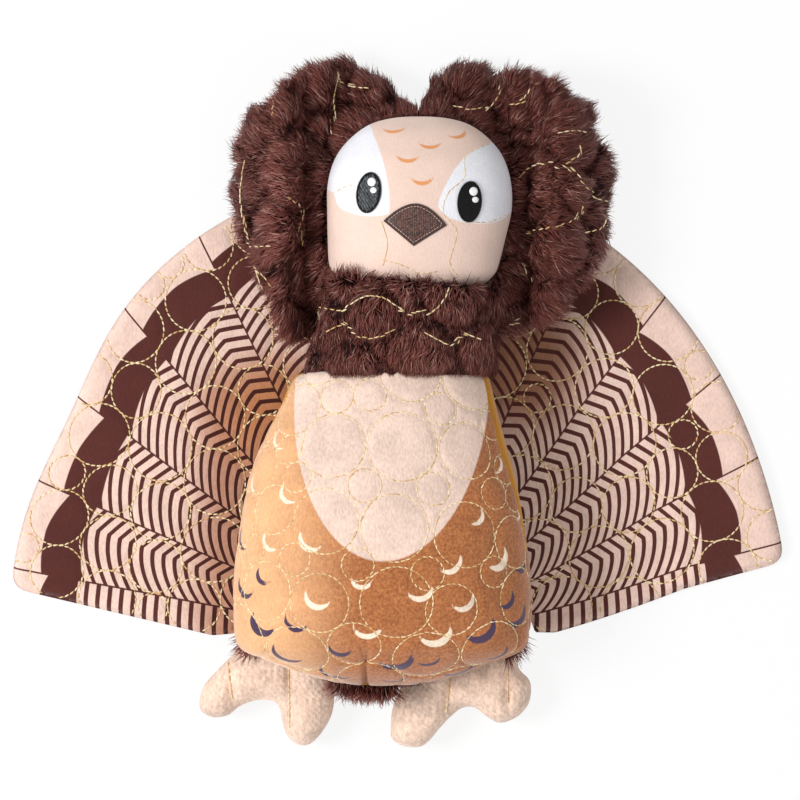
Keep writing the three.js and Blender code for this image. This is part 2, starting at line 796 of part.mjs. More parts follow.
function ruffLobe(side, layer) {
  const sign = side === 'left' ? -1 : 1;
  const reachMost = side === 'left' ? ruffLeftReach : ruffRightReach;
  const besideCollar = sign * (collarEdge[side] - ruffHinge[side]) + 2 * clearance;
  const rows = innerPart(ruffRows, layer);
  const columns = innerPart(ruffColumns, layer);
  const length = ruffTop - ruffFoot;
  return doubleSheet(rows.length, columns.length, (k, i, j) => {
    const [along, leftShare, rightShare] = rows[i];
    const edge = (side === 'left' ? leftShare : rightShare) * reachMost;
    const beside = ruffFoot + along * length < ruffRootStart;
    const root = beside ? Math.max(-ruffRootInner, besideCollar) : -ruffRootInner;
    const distance = THREE.MathUtils.lerp(root, edge, columns[j]);
    const z = padLayers[layer](lobeHeights(distance, edge, along))[k];
    return [ruffHinge[side] + sign * distance, ruffFoot + along * length, z];
  });
}

const crownEdges = {
  left: ruffHinge.left + ruffRootInner + hingeGap,
  right: ruffHinge.right - ruffRootInner - hingeGap,
};
const crownColumns = Array.from({ length: 13 }, (_, i) => i / 12);
const crownRows = [0, 0.3, 0.6, 0.85, 0.96, 1];

// The crown strip fills between the lobes behind the top of the head, with a notch in its rim.
function crownStrip(layer) {
  const columns = innerPart(crownColumns, layer);
  const rows = layer === 'batting' ? crownRows.slice(0, -1) : crownRows;
  const headRoom = toSolid(stuffedForm(headSections, -clearance));
  const strip = doubleSheet(columns.length, rows.length, (k, i, j) => {
    const x = THREE.MathUtils.lerp(crownEdges.left, crownEdges.right, columns[i]);
    const notch = crownNotchDepth * Math.exp(-(((x - crownNotchX) / crownNotchWidth) ** 2));
    const out = rows[j];
    const ends = Math.sqrt(Math.max(0, 1 - Math.abs((2 * columns[i] - 1) * 0.96) ** 7));
    const half = ruffRim + (ruffPadHalf - ruffRim) * Math.sqrt(Math.max(0, 1 - out ** 4)) * ends;
    const middle = ruffRootZ - ruffEdgeDrop * out ** 2;
    const y = THREE.MathUtils.lerp(crownFoot, ruffTop - notch, out);
    return [x, y, padLayers[layer]({ middle, half })[k]];
  });
  return toGeometry(toSolid(strip).subtract(headRoom));
}

for (const layer of Object.keys(padLayers)) {
  const colour = layer === 'batting' ? colours.filling : colours.brownFur;
  addPiece(`ruff_left_${layer}`, ruffLobe('left', layer), colour);
  addPiece(`ruff_right_${layer}`, ruffLobe('right', layer), colour);
  addPiece(`ruff_crown_${layer}`, crownStrip(layer), colour);
}

// Feet: a heel roll that turns at the body's base seam, and flattened limbs for the toes and web
const footHingeZ = footThickness / 2;

function footForm(foot, inset) {
  const radius = footHingeZ - inset;
  const [from, to] = [foot.heel[0] + inset, foot.heel[1] - inset];
  const heel = new THREE.CylinderGeometry(radius, radius, to - from, 16);
  heel.rotateZ(Math.PI / 2);
  heel.translate((from + to) / 2, footHingeY, footHingeZ);
  const limbs = foot.limbs.map(([ax, fromY, bx, toY, limbRadius]) => {
    const [ay, by] = [footHingeY + fromY, footHingeY + toY];
    const length = Math.hypot(bx - ax, by - ay);
    const limb = new THREE.CapsuleGeometry(limbRadius - inset, length, 3, 10);
    limb.scale(1, 1, radius / (limbRadius - inset));
    limb.rotateZ(Math.atan2(by - ay, bx - ax) - Math.PI / 2);
    limb.translate((ax + bx) / 2, (ay + by) / 2, footHingeZ);
    return limb;
  });
  return joinAll([heel, ...limbs]);
}

for (const [side, foot] of Object.entries(footToes)) {
  const middle = (foot.heel[0] + foot.heel[1]) / 2;
  const seam = toSolid(box(
    [middle - footSeamWidth, footHingeY, footHingeZ - footSeamWidth / 2],
    [middle + footSeamWidth, footHingeY + footThickness, footHingeZ + footSeamWidth / 2],
  ));
  const cover = footForm(foot, 0).subtract(footForm(foot, clothThickness)).subtract(seam);
  addPiece(`foot_${side}_cover`, toGeometry(cover), colours.palePlush);
  addPiece(`foot_${side}_filling`, toGeometry(footForm(foot, fillingInset)), colours.filling);
}

export default toy;
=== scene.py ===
import json
import math

import bmesh
import bpy
import numpy as np
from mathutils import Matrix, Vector
from mathutils.bvhtree import BVHTree
from mathutils.geometry import delaunay_2d_cdt


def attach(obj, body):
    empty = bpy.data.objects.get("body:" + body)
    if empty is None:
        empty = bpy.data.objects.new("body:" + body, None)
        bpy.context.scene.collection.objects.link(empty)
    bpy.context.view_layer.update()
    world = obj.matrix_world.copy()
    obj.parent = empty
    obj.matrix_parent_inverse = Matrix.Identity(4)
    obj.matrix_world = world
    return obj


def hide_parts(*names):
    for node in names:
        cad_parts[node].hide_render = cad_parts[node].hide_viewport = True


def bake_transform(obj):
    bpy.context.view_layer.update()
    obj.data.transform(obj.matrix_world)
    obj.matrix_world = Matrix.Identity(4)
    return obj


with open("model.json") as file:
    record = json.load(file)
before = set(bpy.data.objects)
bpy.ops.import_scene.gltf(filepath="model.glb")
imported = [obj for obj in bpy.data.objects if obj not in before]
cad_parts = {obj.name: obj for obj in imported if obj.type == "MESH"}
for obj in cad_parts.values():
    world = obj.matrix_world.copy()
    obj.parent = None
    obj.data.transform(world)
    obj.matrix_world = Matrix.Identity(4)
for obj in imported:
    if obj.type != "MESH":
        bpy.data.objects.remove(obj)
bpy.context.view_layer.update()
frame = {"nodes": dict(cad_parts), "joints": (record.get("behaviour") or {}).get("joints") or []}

# The studio: a pale table under the toy, which lies on its back, and a camera straight above it.
# A large soft lamp stands to the upper left and a weak one to the right, as for a catalogue.
MM = 0.001
CAMERA_HEIGHT = 1500 * MM
VIEW_WIDTH = 320 * MM
VIEW_CENTRE_Y = 0.8 * MM


def linear(code):
    """An sRGB hex colour as the linear numbers that a node takes."""
    parts = [int(code[i:i + 2], 16) / 255 for i in (0, 2, 4)]
    return (*[c / 12.92 if c <= 0.04045 else ((c + 0.055) / 1.055) ** 2.4 for c in parts], 1)


def add(tree, kind, *values, named={}, **settings):
    """Adds one node with its settings, and sets its inputs or links them, in order or by name."""
    made = tree.nodes.new(kind)
    for key, value in settings.items():
        setattr(made, key, value)
    for key, value in [*enumerate(values), *named.items()]:
        if isinstance(value, bpy.types.Node):
            value = value.outputs[0]
        if isinstance(value, bpy.types.NodeSocket):
            tree.links.new(value, made.inputs[key])
        elif value is not None:
            made.inputs[key].default_value = value
    return made


def new_material(name, finish):
    """A material, its tree and its shader, whose own sockets are set to the finish."""
    material = bpy.data.materials.new(name)
    material.use_nodes = True
    shader = material.node_tree.nodes["Principled BSDF"]
    for socket, value in finish.items():
        shader.inputs[socket].default_value = value
    return material, material.node_tree, shader


def shows_backdrop(tree):
    """1 where the camera looks, straight, in a gloss or through film, and 0 for light alone."""
    path = add(tree, "ShaderNodeLightPath")
    seen = 0.0
    for ray in ("Is Camera Ray", "Is Glossy Ray", "Is Transmission Ray"):
        seen = add(tree, "ShaderNodeMath", seen, path.outputs[ray], operation="MAXIMUM")
    return seen


scene = bpy.context.scene
scene.view_settings.view_transform = "Standard"

camera_data = bpy.data.cameras.new("camera")
camera_data.sensor_width = 36
camera_data.lens = camera_data.sensor_width * CAMERA_HEIGHT / VIEW_WIDTH
camera = bpy.data.objects.new("camera", camera_data)
camera.location = (0, VIEW_CENTRE_Y, CAMERA_HEIGHT)
scene.collection.objects.link(camera)
scene.camera = camera

for lamp, place, size, watts in (
    ("key_lamp", (-1.0, -0.04, 1.2), 0.5, 18.5),
    ("side_lamp", (0.8, -0.7, 1.1), 0.8, 2.5),
):
    light = bpy.data.lights.new(lamp, "AREA")
    light.size = size
    light.energy = watts
    holder = bpy.data.objects.new(lamp, light)
    holder.location = place
    holder.rotation_euler = (-Vector(place)).to_track_quat("-Z", "Y").to_euler()
    scene.collection.objects.link(holder)

ROOM_LIGHT = 0.5
world = bpy.data.worlds.new("room")
world.use_nodes = True
scene.world = world
tree = world.node_tree
tree.nodes.clear()
strength = add(tree, "ShaderNodeMapRange", shows_backdrop(tree), 0.0, 1.0, ROOM_LIGHT, 1.0)
room = add(tree, "ShaderNodeBackground", (1, 1, 1, 1), strength)
add(tree, "ShaderNodeOutputWorld", room)

# White laminate: it looks white to the camera, and keeps a faint shadow of the toy.
GLOW_SHARE = 0.86
table, tree, shader = new_material("white_laminate", {"Base Color": linear("f4f4f4"), "Roughness": 0.6})
share = add(tree, "ShaderNodeMath", shows_backdrop(tree), GLOW_SHARE, operation="MULTIPLY")
glow = add(tree, "ShaderNodeEmission", (1, 1, 1, 1), 1.0)
mixed = add(tree, "ShaderNodeMixShader", share, shader, glow)
tree.links.new(mixed.outputs[0], tree.nodes["Material Output"].inputs["Surface"])
TABLE_HALF = 4.0
floor_mesh = bpy.data.meshes.new("table_top")
corners = [(x * TABLE_HALF, y * TABLE_HALF, 0) for x, y in ((-1, -1), (1, -1), (1, 1), (-1, 1))]
floor_mesh.from_pydata(corners, [], [(0, 1, 2, 3)])
floor_mesh.materials.append(table)
floor = bpy.data.objects.new("table_top", floor_mesh)
scene.collection.objects.link(floor)

# Body cover, front: short printed plush, cut with a pale bib and quilted to thin wadding in gold
# thread along circles that touch. It is sewn to the side gussets and stuffed tight.
REST = 7.7
NECK_Z = REST + 29.3
BODY_TOP, BODY_LENGTH, BODY_HALF, BODY_DEPTH, BODY_LEAN = 24, 134.5, 57.9, 66.3, -6.9
# Down the body: the place, half width, back and front, as shares of its length, half and depth.
BODY_SHARES = [
    (0.103, 0.645, 0.02, 0.81), (0.197, 0.731, 0.007, 0.864), (0.285, 0.81, 0, 0.91),
    (0.394, 0.893, 0, 0.955), (0.511, 0.943, 0, 0.985), (0.628, 0.984, 0, 1),
    (0.737, 1, 0, 1), (0.825, 0.995, 0.027, 0.955), (0.876, 0.975, 0.072, 0.895),
    (0.905, 0.9, 0.12, 0.84), (0.934, 0.72, 0.17, 0.78), (0.966, 0.52, 0.27, 0.69),
    (0.992, 0.27, 0.39, 0.58), (1, 0.004, 0.47, 0.475),
]
NECK_HALF, NECK_DEEP = 28, 22.3
# Each station is y, the x of its middle, its half width, and the heights of its back and front.
body_stations = [
    (BODY_TOP, 3, NECK_HALF, NECK_Z - NECK_DEEP, NECK_Z + NECK_DEEP),
    (13, 0, NECK_HALF + 1, NECK_Z - NECK_DEEP, NECK_Z + NECK_DEEP + 1),
]
body_stations += [
    (BODY_TOP - y * BODY_LENGTH, BODY_LEAN * min(1, 0.2 + 2.4 * y), wide * BODY_HALF,
     REST + back * BODY_DEPTH, REST + front * BODY_DEPTH)
    for y, wide, back, front in BODY_SHARES
]


def along(stations, shares):
    """The numbers of a list of stations at shares 0 to 1 along it, on a smooth curve through them."""
    stations = np.asarray(stations, float)
    last = len(stations) - 1
    place = np.clip(np.asarray(shares, float) * last, 0, last - 1e-9)
    i = place.astype(int)
    t = (place - i)[..., None]
    before, here = stations[np.maximum(i - 1, 0)], stations[i]
    there, after = stations[i + 1], stations[np.minimum(i + 2, last)]
    return 0.5 * (2 * here + (there - before) * t
                  + (2 * before - 5 * here + 4 * there - after) * t ** 2
                  + (3 * here - before - 3 * there + after) * t ** 3)


def form_grid(stations, from_degrees, to_degrees, rows, columns):
    """Points of a stuffed form, rows along it and columns round it: x, y, z in millimetres. The
    angles are from +X, towards the front, and may change from row to row."""
    y, x, half, back, front = along(stations, np.linspace(0, 1, rows)).T[:, :, None]
    start, stop = (np.broadcast_to(degrees, rows) for degrees in (from_degrees, to_degrees))
    angle = np.radians(np.linspace(start, stop, columns, axis=1))
    round_off = 2 / 2.25
    across = np.sign(np.cos(angle)) * np.abs(np.cos(angle)) ** round_off
    up = np.sign(np.sin(angle)) * np.abs(np.sin(angle)) ** round_off
    return np.stack(np.broadcast_arrays(
        x + np.maximum(half, 0.1) * across,
        y,
        (front + back) / 2 + (front - back) / 2 * up,
    ), axis=-1)


def unit(vectors):
    return vectors / np.maximum(np.linalg.norm(vectors, axis=-1, keepdims=True), 1e-9)


def grid_normals(grid, middle):
    """Directions out of a grid of points, away from a middle point for each row."""
    normals = unit(np.cross(np.gradient(grid, axis=0), np.gradient(grid, axis=1)))
    out = np.sum(normals * (grid - middle), axis=-1, keepdims=True)
    return normals * np.where(out < 0, -1, 1)


def row_middles(stations, rows):
    y, x, half, back, front = along(stations, np.linspace(0, 1, rows)).T
    return np.stack([x, y, (back + front) / 2], axis=1)[:, None, :]


def closed_sheet(outer, inner, around=False):
    """Points and quads of two like grids, joined along their open edges into one closed mesh."""
    rows, columns = outer.shape[:2]
    points = np.concatenate([outer.reshape(-1, 3), inner.reshape(-1, 3)])
    index = np.arange(2 * rows * columns).reshape(2, rows, columns)
    if around:
        index = np.concatenate([index, index[:, :, :1]], axis=2)
    strips = [index[0], index[1], index[:, 0], index[:, -1]]
    if not around:
        strips += [index[:, :, 0], index[:, :, -1]]
    quads = [np.stack([s[:-1, :-1], s[1:, :-1], s[1:, 1:], s[:-1, 1:]], axis=-1).reshape(-1, 4)
             for s in strips]
    return points, np.concatenate(quads)


def make_piece(name, points, faces, material, fields={}):
    """A closed piece from points in millimetres, with its faces turned out and smooth shaded."""
    mesh = bpy.data.meshes.new(name)
    mesh.from_pydata((np.asarray(points) * MM).tolist(), [], np.asarray(faces).tolist())
    for field, values in fields.items():
        values = np.asarray(values, np.float32)
        vector = values.ndim == 2
        made = mesh.attributes.new(field, "FLOAT_VECTOR" if vector else "FLOAT", "POINT")
        made.data.foreach_set("vector" if vector else "value", values.ravel())
    shell = bmesh.new()
    shell.from_mesh(mesh)
    bmesh.ops.recalc_face_normals(shell, faces=shell.faces)
    shell.to_mesh(mesh)
    shell.free()
    mesh.shade_smooth()
    mesh.materials.append(material)
    piece = bpy.data.objects.new(name, mesh)
    scene.collection.objects.link(piece)
    return piece


def pack_circles(points, small, large, seed, first=()):
    """Circles of the quilting, large and small by chance. Each one is set where it touches the ones
    before it, so that they lie close together. first gives some as x, y, z and radius."""
    chance = np.random.default_rng(seed)
    near = np.full((len(points), 2), 200.0)
    centres, radii = [], []
    placed = [(np.array(circle[:3]), circle[3]) for circle in first]
    sizes = [large * chance.uniform(0.75, 1), small * chance.uniform(1, 1.3), large * 0.75, small]
    while sizes:
        if placed:
            centre, radius = placed.pop(0)
        else:
            free = np.flatnonzero(near[:, 0] >= sizes[0])
            if not len(free):
                sizes.pop(0)
                continue
            pick = free[np.argmin(near[free].sum(axis=1) + chance.uniform(0, 0.4, len(free)))]
            centre, radius = points[pick], min(near[pick, 0], sizes[0] * 1.06)
            if len(sizes) == 4:
                sizes = [sizes[1], large * chance.uniform(0.75, 1), *sizes[2:]]
        centres.append(centre)
        radii.append(float(radius))
        apart = np.linalg.norm(points - centre, axis=1) - radius
        near = np.sort(np.column_stack([near, apart]), axis=1)[:, :2]
    return np.array(centres), np.array(radii)


def line_distance(points, circles):
    """How far each point lies from the nearest quilting line."""
    centres, radii = circles
    nearest = np.full(len(points), 99.0)
    for centre, radius in zip(centres, radii):
        apart = np.abs(np.linalg.norm(points - centre, axis=1) - radius)
        nearest = np.minimum(nearest, apart)
    return nearest


def quilted(grid, normals, circles, dip, width, puff):
    """A grid drawn in along the quilting lines and swollen a little between them."""
    apart = line_distance(grid.reshape(-1, 3), circles).reshape(grid.shape[:2])[..., None]
    return grid + normals * (puff * (1 - np.exp(-(apart / (2.5 * width)) ** 2))
                             - dip * np.exp(-(apart / width) ** 2))


def grid_tree(grid):
    """A search tree over one open grid of points."""
    rows, columns = grid.shape[:2]
    index = np.arange(rows * columns).reshape(rows, columns)
    quads = np.stack([index[:-1, :-1], index[1:, :-1], index[1:, 1:], index[:-1, 1:]], axis=-1)
    return BVHTree.FromPolygons(grid.reshape(-1, 3).tolist(), quads.reshape(-1, 4).tolist())


def from_front(search, x, y):
    """Where a straight look from the front meets a surface, and the way out of it there."""
    above_all = 200
    place, out, _, _ = search.ray_cast(Vector((x, y, above_all)), Vector((0, 0, -1)))
    return (None, None) if place is None else (place, out if out.z > 0 else -out)


def circle_stitches(search, circles, pitch):
    """Where the stitches lie along the circles: place, run and outward direction of each."""
    stitches = []
    for centre, radius in zip(circles[0], circles[1].tolist()):
        middle = Vector(centre)
        _, normal, _, _ = search.find_nearest(middle)
        side = normal.orthogonal().normalized()
        other = normal.cross(side)
        count = max(5, round(2 * math.pi * radius / pitch))
        ring = []
        for i in range(count):
            turn = 2 * math.pi * i / count
            spot = middle + radius * (math.cos(turn) * side + math.sin(turn) * other)
            place, _, _, apart = search.find_nearest(spot)
            place, out, _, _ = search.find_nearest(middle + (place - middle).normalized() * radius)
            on_cloth = apart < radius * 0.75 and abs((place - middle).length - radius) < 0.7
            ring.append((place, out if out.dot(normal) > 0 else -out) if on_cloth else None)
        for here, after in zip(ring, ring[1:] + ring[:1]):
            if here and after:
                stitches.append((here[0], (after[0] - here[0]).normalized(), here[1]))
    return stitches


def evenly(line, number, endpoint=True):
    """Places at an even spacing along a line of x, y. number gives how many, from its length."""
    run = np.concatenate([[0], np.cumsum(np.linalg.norm(np.diff(line, axis=0), axis=1))])
    at = np.linspace(0, run[-1], number(run[-1]), endpoint=endpoint)
    return np.column_stack([np.interp(at, run, line[:, axis]) for axis in (0, 1)])


def line_stitches(search, lines, pitch):
    """Stitches along smooth lines on the front, each through a few places given as x, y."""
    stitches = []
    for line in lines:
        fine = along(line, np.linspace(0, 1, 12 * len(line)))
        spots = evenly(fine, lambda length: max(2, round(length / pitch)) + 1)
        hits = [from_front(search, x, y) for x, y in spots.tolist()]
        for (here, out), (after, _) in zip(hits, hits[1:]):
            if here and after:
                stitches.append((here, (after - here).normalized(), out))
    return stitches


def node_group(name, sockets):
    """A geometry tree with named inputs and, as the last socket, its output; and its inputs."""
    tree = bpy.data.node_groups.new(name, "GeometryNodeTree")
    for label, kind in sockets.items():
        side = "OUTPUT" if label == [*sockets][-1] else "INPUT"
        tree.interface.new_socket(name=label, in_out=side, socket_type="NodeSocket" + kind)
    return tree, add(tree, "NodeGroupInput").outputs


def laid_out(tree, points, part, up, run, size=None):
    """One copy of a part at each point, with its Z along up and its X over along run."""
    turned = add(tree, "FunctionNodeAlignRotationToVector", None, 1.0, up, axis="Z")
    turned = add(tree, "FunctionNodeAlignRotationToVector", turned, 1.0, run, axis="X", pivot_axis="Z")
    return add(tree, "GeometryNodeInstanceOnPoints", named={
        "Points": points, "Instance": part, "Rotation": turned, "Scale": size})


def made_real(tree, laid, field, chance, material):
    """The copies as one smooth mesh of a material. Each keeps a number of its own as a field."""
    marked = add(tree, "GeometryNodeStoreNamedAttribute", laid,
                 named={"Name": field, "Value": chance.outputs[1]}, domain="INSTANCE", data_type="FLOAT")
    real = add(tree, "GeometryNodeRealizeInstances", marked)
    smooth = add(tree, "GeometryNodeSetShadeSmooth", real)
    return add(tree, "GeometryNodeSetMaterial", smooth, named={"Material": material})


# One lock stitch: a short rounded length of thread. The tree lays one at each point, along "run"
# and flat on the cloth, whose outward way is "out".
stitch_tree, given = node_group("lock_stitches", {
    "Points": "Geometry", "Stitch length": "Float", "Thread width": "Float", "Seed": "Int",
    "Thread": "Material", "Stitches": "Geometry"})
width = given["Thread width"]
ball = add(stitch_tree, "GeometryNodeMeshIcoSphere", 0.5, 1)
scale = add(stitch_tree, "ShaderNodeCombineXYZ", given["Stitch length"], width, width)
stitch = add(stitch_tree, "GeometryNodeTransform", ball, named={"Scale": scale})
run = add(stitch_tree, "GeometryNodeInputNamedAttribute", "run", data_type="FLOAT_VECTOR")
out = add(stitch_tree, "GeometryNodeInputNamedAttribute", "out", data_type="FLOAT_VECTOR")
laid = laid_out(stitch_tree, given["Points"], stitch, out, run)
tone = add(stitch_tree, "FunctionNodeRandomValue", named={"Seed": given["Seed"]}, data_type="FLOAT")
add(stitch_tree, "NodeGroupOutput", made_real(stitch_tree, laid, "tone", tone, given["Thread"]))


def run_tree(piece, node_tree, inputs):
    """Gives a piece the mesh that a node tree makes of it, as plain triangles and quads."""
    modifier = piece.modifiers.new("shape", "NODES")
    modifier.node_group = node_tree
    for item in node_tree.interface.items_tree:
        if item.item_type == "SOCKET" and item.name in inputs:
            modifier[item.identifier] = inputs[item.name]
    seen = piece.evaluated_get(bpy.context.evaluated_depsgraph_get())
    mesh = bpy.data.meshes.new_from_object(seen)
    piece.modifiers.clear()
    piece.data = mesh
    return piece


def sew(name, stitches, thread, length, width, lift=0.1):
    """A piece made of stitches: a place, run and outward direction for each, in millimetres."""
    places = [(Vector(place) + Vector(out) * lift) * MM for place, _, out in stitches]
    mesh = bpy.data.meshes.new(name)
    mesh.from_pydata(places, [], [])
    for field, part in (("run", 1), ("out", 2)):
        made = mesh.attributes.new(field, "FLOAT_VECTOR", "POINT")
        made.data.foreach_set("vector", [c for stitch in stitches for c in stitch[part]])
    piece = bpy.data.objects.new(name, mesh)
    scene.collection.objects.link(piece)
    return run_tree(piece, stitch_tree, {
        "Stitch length": length * MM, "Thread width": width * MM, "Seed": 1, "Thread": thread})


def soft_step(tree, value, low, high):
    """1 below low, 0 above high, with a smooth change between them."""
    return add(tree, "ShaderNodeMapRange", value, low, high, 1.0, 0.0, interpolation_type="SMOOTHSTEP")


def paint_over(tree, mask, under, over):
    """One colour laid over another as a mask says. Sockets 6 and 7 of the node are its colours."""
    mixed = add(tree, "ShaderNodeMix", mask, data_type="RGBA", named={6: under, 7: over})
    return mixed.outputs[2]


def thread_material(name, dark, light, gloss=0.42, shine=0.5):
    """Twisted polyester embroidery thread: each stitch catches the light a little differently."""
    material, tree, shader = new_material(name, {
        "Roughness": gloss, "Specular IOR Level": shine, "Sheen Weight": 0.3 * shine})
    tone = add(tree, "ShaderNodeAttribute", attribute_name="tone").outputs["Fac"]
    tree.links.new(paint_over(tree, tone, linear(dark), linear(light)), shader.inputs["Base Color"])
    return material


gold_thread = thread_material("gold_polyester_thread", "cfa767", "fbe9bd")


def plush(name, paint, nap=0.14, pile=0.5, sheen=0.3):
    """Short cut pile, printed or plain: matt, with a soft bloom at the edges, and lighter or darker
    where it was brushed. pile is the width of its tufts in millimetres, drawn wider than the real
    ones of about 0.3 mm, which wouldn't show."""
    material, tree, shader = new_material(name, {
        "Roughness": 0.9, "Specular IOR Level": 0.25, "Sheen Weight": sheen, "Sheen Roughness": 0.45})
    place = add(tree, "ShaderNodeTexCoord").outputs["Object"]
    colour = paint(tree, place)
    nap_and_painted_light = add(tree, "ShaderNodeTexNoise",
                  named={"Vector": place, "Scale": 1 / (14 * MM), "Detail": 5.0, "Roughness": 0.62})
    stretched = add(tree, "ShaderNodeMapping", place, named={"Scale": (1.0, 0.45, 1.0)})
    tufts = add(tree, "ShaderNodeTexNoise",
                named={"Vector": stretched, "Scale": 1 / (pile * MM), "Detail": 2.0, "Roughness": 0.6})
    both = add(tree, "ShaderNodeMath", nap_and_painted_light, tufts, operation="ADD")
    value = add(tree, "ShaderNodeMapRange", both, 0.6, 1.4, 1 - nap, 1 + nap)
    toned = add(tree, "ShaderNodeHueSaturation", named={"Value": value, "Color": colour})
    tree.links.new(toned.outputs[0], shader.inputs["Base Color"])
    raised = add(tree, "ShaderNodeBump",
                 named={"Strength": 0.7, "Distance": 0.35 * MM, "Height": tufts})
    tree.links.new(raised.outputs[0], shader.inputs["Normal"])
    return material


def field_mask(tree, field, blur=0.3):
    """Where a printed shape is: its signed distance in millimetres, kept on the cloth's points."""
    inside = add(tree, "ShaderNodeAttribute", attribute_name=field).outputs["Fac"]
    return soft_step(tree, inside, -blur, blur)


def body_print(tree, place):
    flecks = add(tree, "ShaderNodeTexNoise",
                 named={"Vector": place, "Scale": 1 / (1.1 * MM), "Detail": 3.0, "Roughness": 0.7})
    flecks = add(tree, "ShaderNodeMapRange", flecks.outputs["Fac"], 0.36, 0.64, 0.0, 1.0)
    orange = paint_over(tree, flecks, linear("9a5832"), linear("bf7c4a"))
    # Painted light: the left flank is painted paler orange, a painted highlight where the lamp at the
    # left falls on it.
    x = add(tree, "ShaderNodeSeparateXYZ", place).outputs["X"]
    nap_and_painted_light = add(tree, "ShaderNodeMath", soft_step(tree, x, -52 * MM, -12 * MM), 0.85,
                  operation="MULTIPLY")
    orange = paint_over(tree, nap_and_painted_light, orange, linear("f0b988"))
    colour = paint_over(tree, field_mask(tree, "bib"), orange, linear("e9cdbd"))
    colour = paint_over(tree, field_mask(tree, "cream", 0.2), colour, linear("f6e2cb"))
    return paint_over(tree, field_mask(tree, "plum", 0.2), colour, linear("4b3650"))


def crescents(points, search, marks, hollow):
    """Signed distance to crescents printed on the cloth. Each mark is where its middle shows from
    the front, its radius, its thickness and, where it doesn't lean as its place says, how far it is
    turned. hollow is how much wider the circle is that cuts it out."""
    nearest = np.full(len(points), 9.0)
    for x, y, half, thick, *turned in marks:
        # Degrees of lean for each millimetre from the middle: 0.6 at the base, 1.7 at the neck.
        lean = 0.6 + 1.1 * min(max((y + 110) / 95, 0), 1)
        degrees = turned[0] if turned else -lean * (x + 6)
        place, out = from_front(search, x, y)
        if place is None:
            continue
        up = Vector((math.sin(math.radians(degrees)), math.cos(math.radians(degrees)), 0))
        up = (up - out * up.dot(out)).normalized()
        side = up.cross(out)
        apart = points - np.array(place)
        across, height = apart @ np.array(side), apart @ np.array(up)
        rise = thick + half * hollow - half
        outside = np.hypot(across, height) - half
        inside = half * hollow - np.hypot(across, height - rise)
        near = np.linalg.norm(apart, axis=1) < 3 * half
        nearest = np.where(near, np.minimum(nearest, np.maximum(outside, inside)), nearest)
    return nearest


# The side seams come forward beside the bib, so that the gussets show there.
SEAM_LOW, SEAM_LEFT_HIGH, SEAM_RIGHT_HIGH = -9, 13, 19
SEAM_DIP, SEAM_WIDTH = 1.7, 2.2
CLOTH = 2.2
QUILT_SMALL, QUILT_LARGE = 5.6, 13
QUILT_DIP, QUILT_WIDTH, QUILT_PUFF = 0.5, 1.0, 0.15
STITCH_PITCH, STITCH_LENGTH, THREAD_WIDTH = 2.3, 2.8, 0.64
COVER_ROWS, COVER_COLUMNS = 170, 170


def side_seam(side, rows):
    """Where the seam of one side lies, in degrees round the body, from the neck to the base."""
    start, stop, high = (0.1, 0.4, SEAM_LEFT_HIGH) if side == "left" else (0.3, 0.55, SEAM_RIGHT_HIGH)
    share = np.clip((np.linspace(0, 1, rows) - start) / (stop - start), 0, 1)
    raised = high + (SEAM_LOW - high) * share
    return 180 - raised if side == "left" else raised


def from_edge(columns, spacing=1):
    """How far each column of a grid lies from the nearer of its two seams."""
    column = np.arange(columns)
    return np.minimum(column, columns - 1 - column) * spacing


def both_sides(values):
    """A field of the outer points of a sheet, given again to its inner points."""
    return np.concatenate([values, values])


def belongs(piece, body, slot, *nodes, fill=None):
    """Makes a piece move with a body and hides the solids that it stands for. slot, the slot of its
    material, is not used, and fill, how full a stuffed piece is, is not used."""
    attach(piece, body)
    if nodes:
        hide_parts(*nodes)


cover = form_grid(body_stations, side_seam("right", COVER_ROWS), side_seam("left", COVER_ROWS),
                  COVER_ROWS, COVER_COLUMNS)
outward = grid_normals(cover, row_middles(body_stations, COVER_ROWS))
# The circles that show in front, at x, y with their radius, and others all round the side.
FRONT_CIRCLES = [
    (0.9, -16.8, 13.5), (-13.5, -31.7, 6.4), (12.7, -33, 6.4), (-2.1, -47.9, 13), (15.8, -2.4, 6.4),
    (-11.7, 2.9, 6.4), (-25.7, -16.4, 12.6), (25.6, -18.5, 11.2), (-1.3, -76.7, 14), (-16.1, -61.9, 6.2),
    (10.6, -65.3, 6.4), (-31, -76.9, 11.6), (19.9, -79.5, 10.2), (-40.6, -60.1, 6.4), (-48.7, -41.2, 9.6),
    (25.2, -50.6, 12.6), (36.6, -35, 6.2), (36.3, -65, 6),
]
cover_tree = grid_tree(cover)
shown = [(*from_front(cover_tree, x, y)[0], radius) for x, y, radius in FRONT_CIRCLES]
body_circles = pack_circles(cover[::2, ::2].reshape(-1, 3), QUILT_SMALL, QUILT_LARGE, seed=11,
                            first=shown)
cover = quilted(cover, outward, body_circles, QUILT_DIP, QUILT_WIDTH, QUILT_PUFF)
# The cover draws in at its seams and at the short dart in the middle of its base.
edge = from_edge(COVER_COLUMNS, 1.05)
seam_dip = SEAM_DIP * np.exp(-(edge / SEAM_WIDTH) ** 2)[None, :, None]
dart = np.exp(-((cover[..., 0] + 13.2) / 1.0) ** 2) * np.clip((-91 - cover[..., 1]) / 8, 0, 1)
dart = dart * (0.3 + 0.7 * np.clip(edge / 7, 0, 1))[None, :]
cover = cover - outward * (seam_dip + SEAM_DIP * dart[..., None])
cover_tree = grid_tree(cover)
points = cover.reshape(-1, 3)

BIB_HALF, BIB_LENGTH, BIB_TOP = 37.7, 65.6, 5
bib_x = points[:, 0] + 3 + 3.5 * np.clip((BIB_TOP - points[:, 1]) / BIB_LENGTH, 0, 1)
bib_y = np.maximum(0, BIB_TOP - points[:, 1])
bib = (np.hypot(bib_x / BIB_HALF, bib_y / BIB_LENGTH) - 1) * BIB_HALF
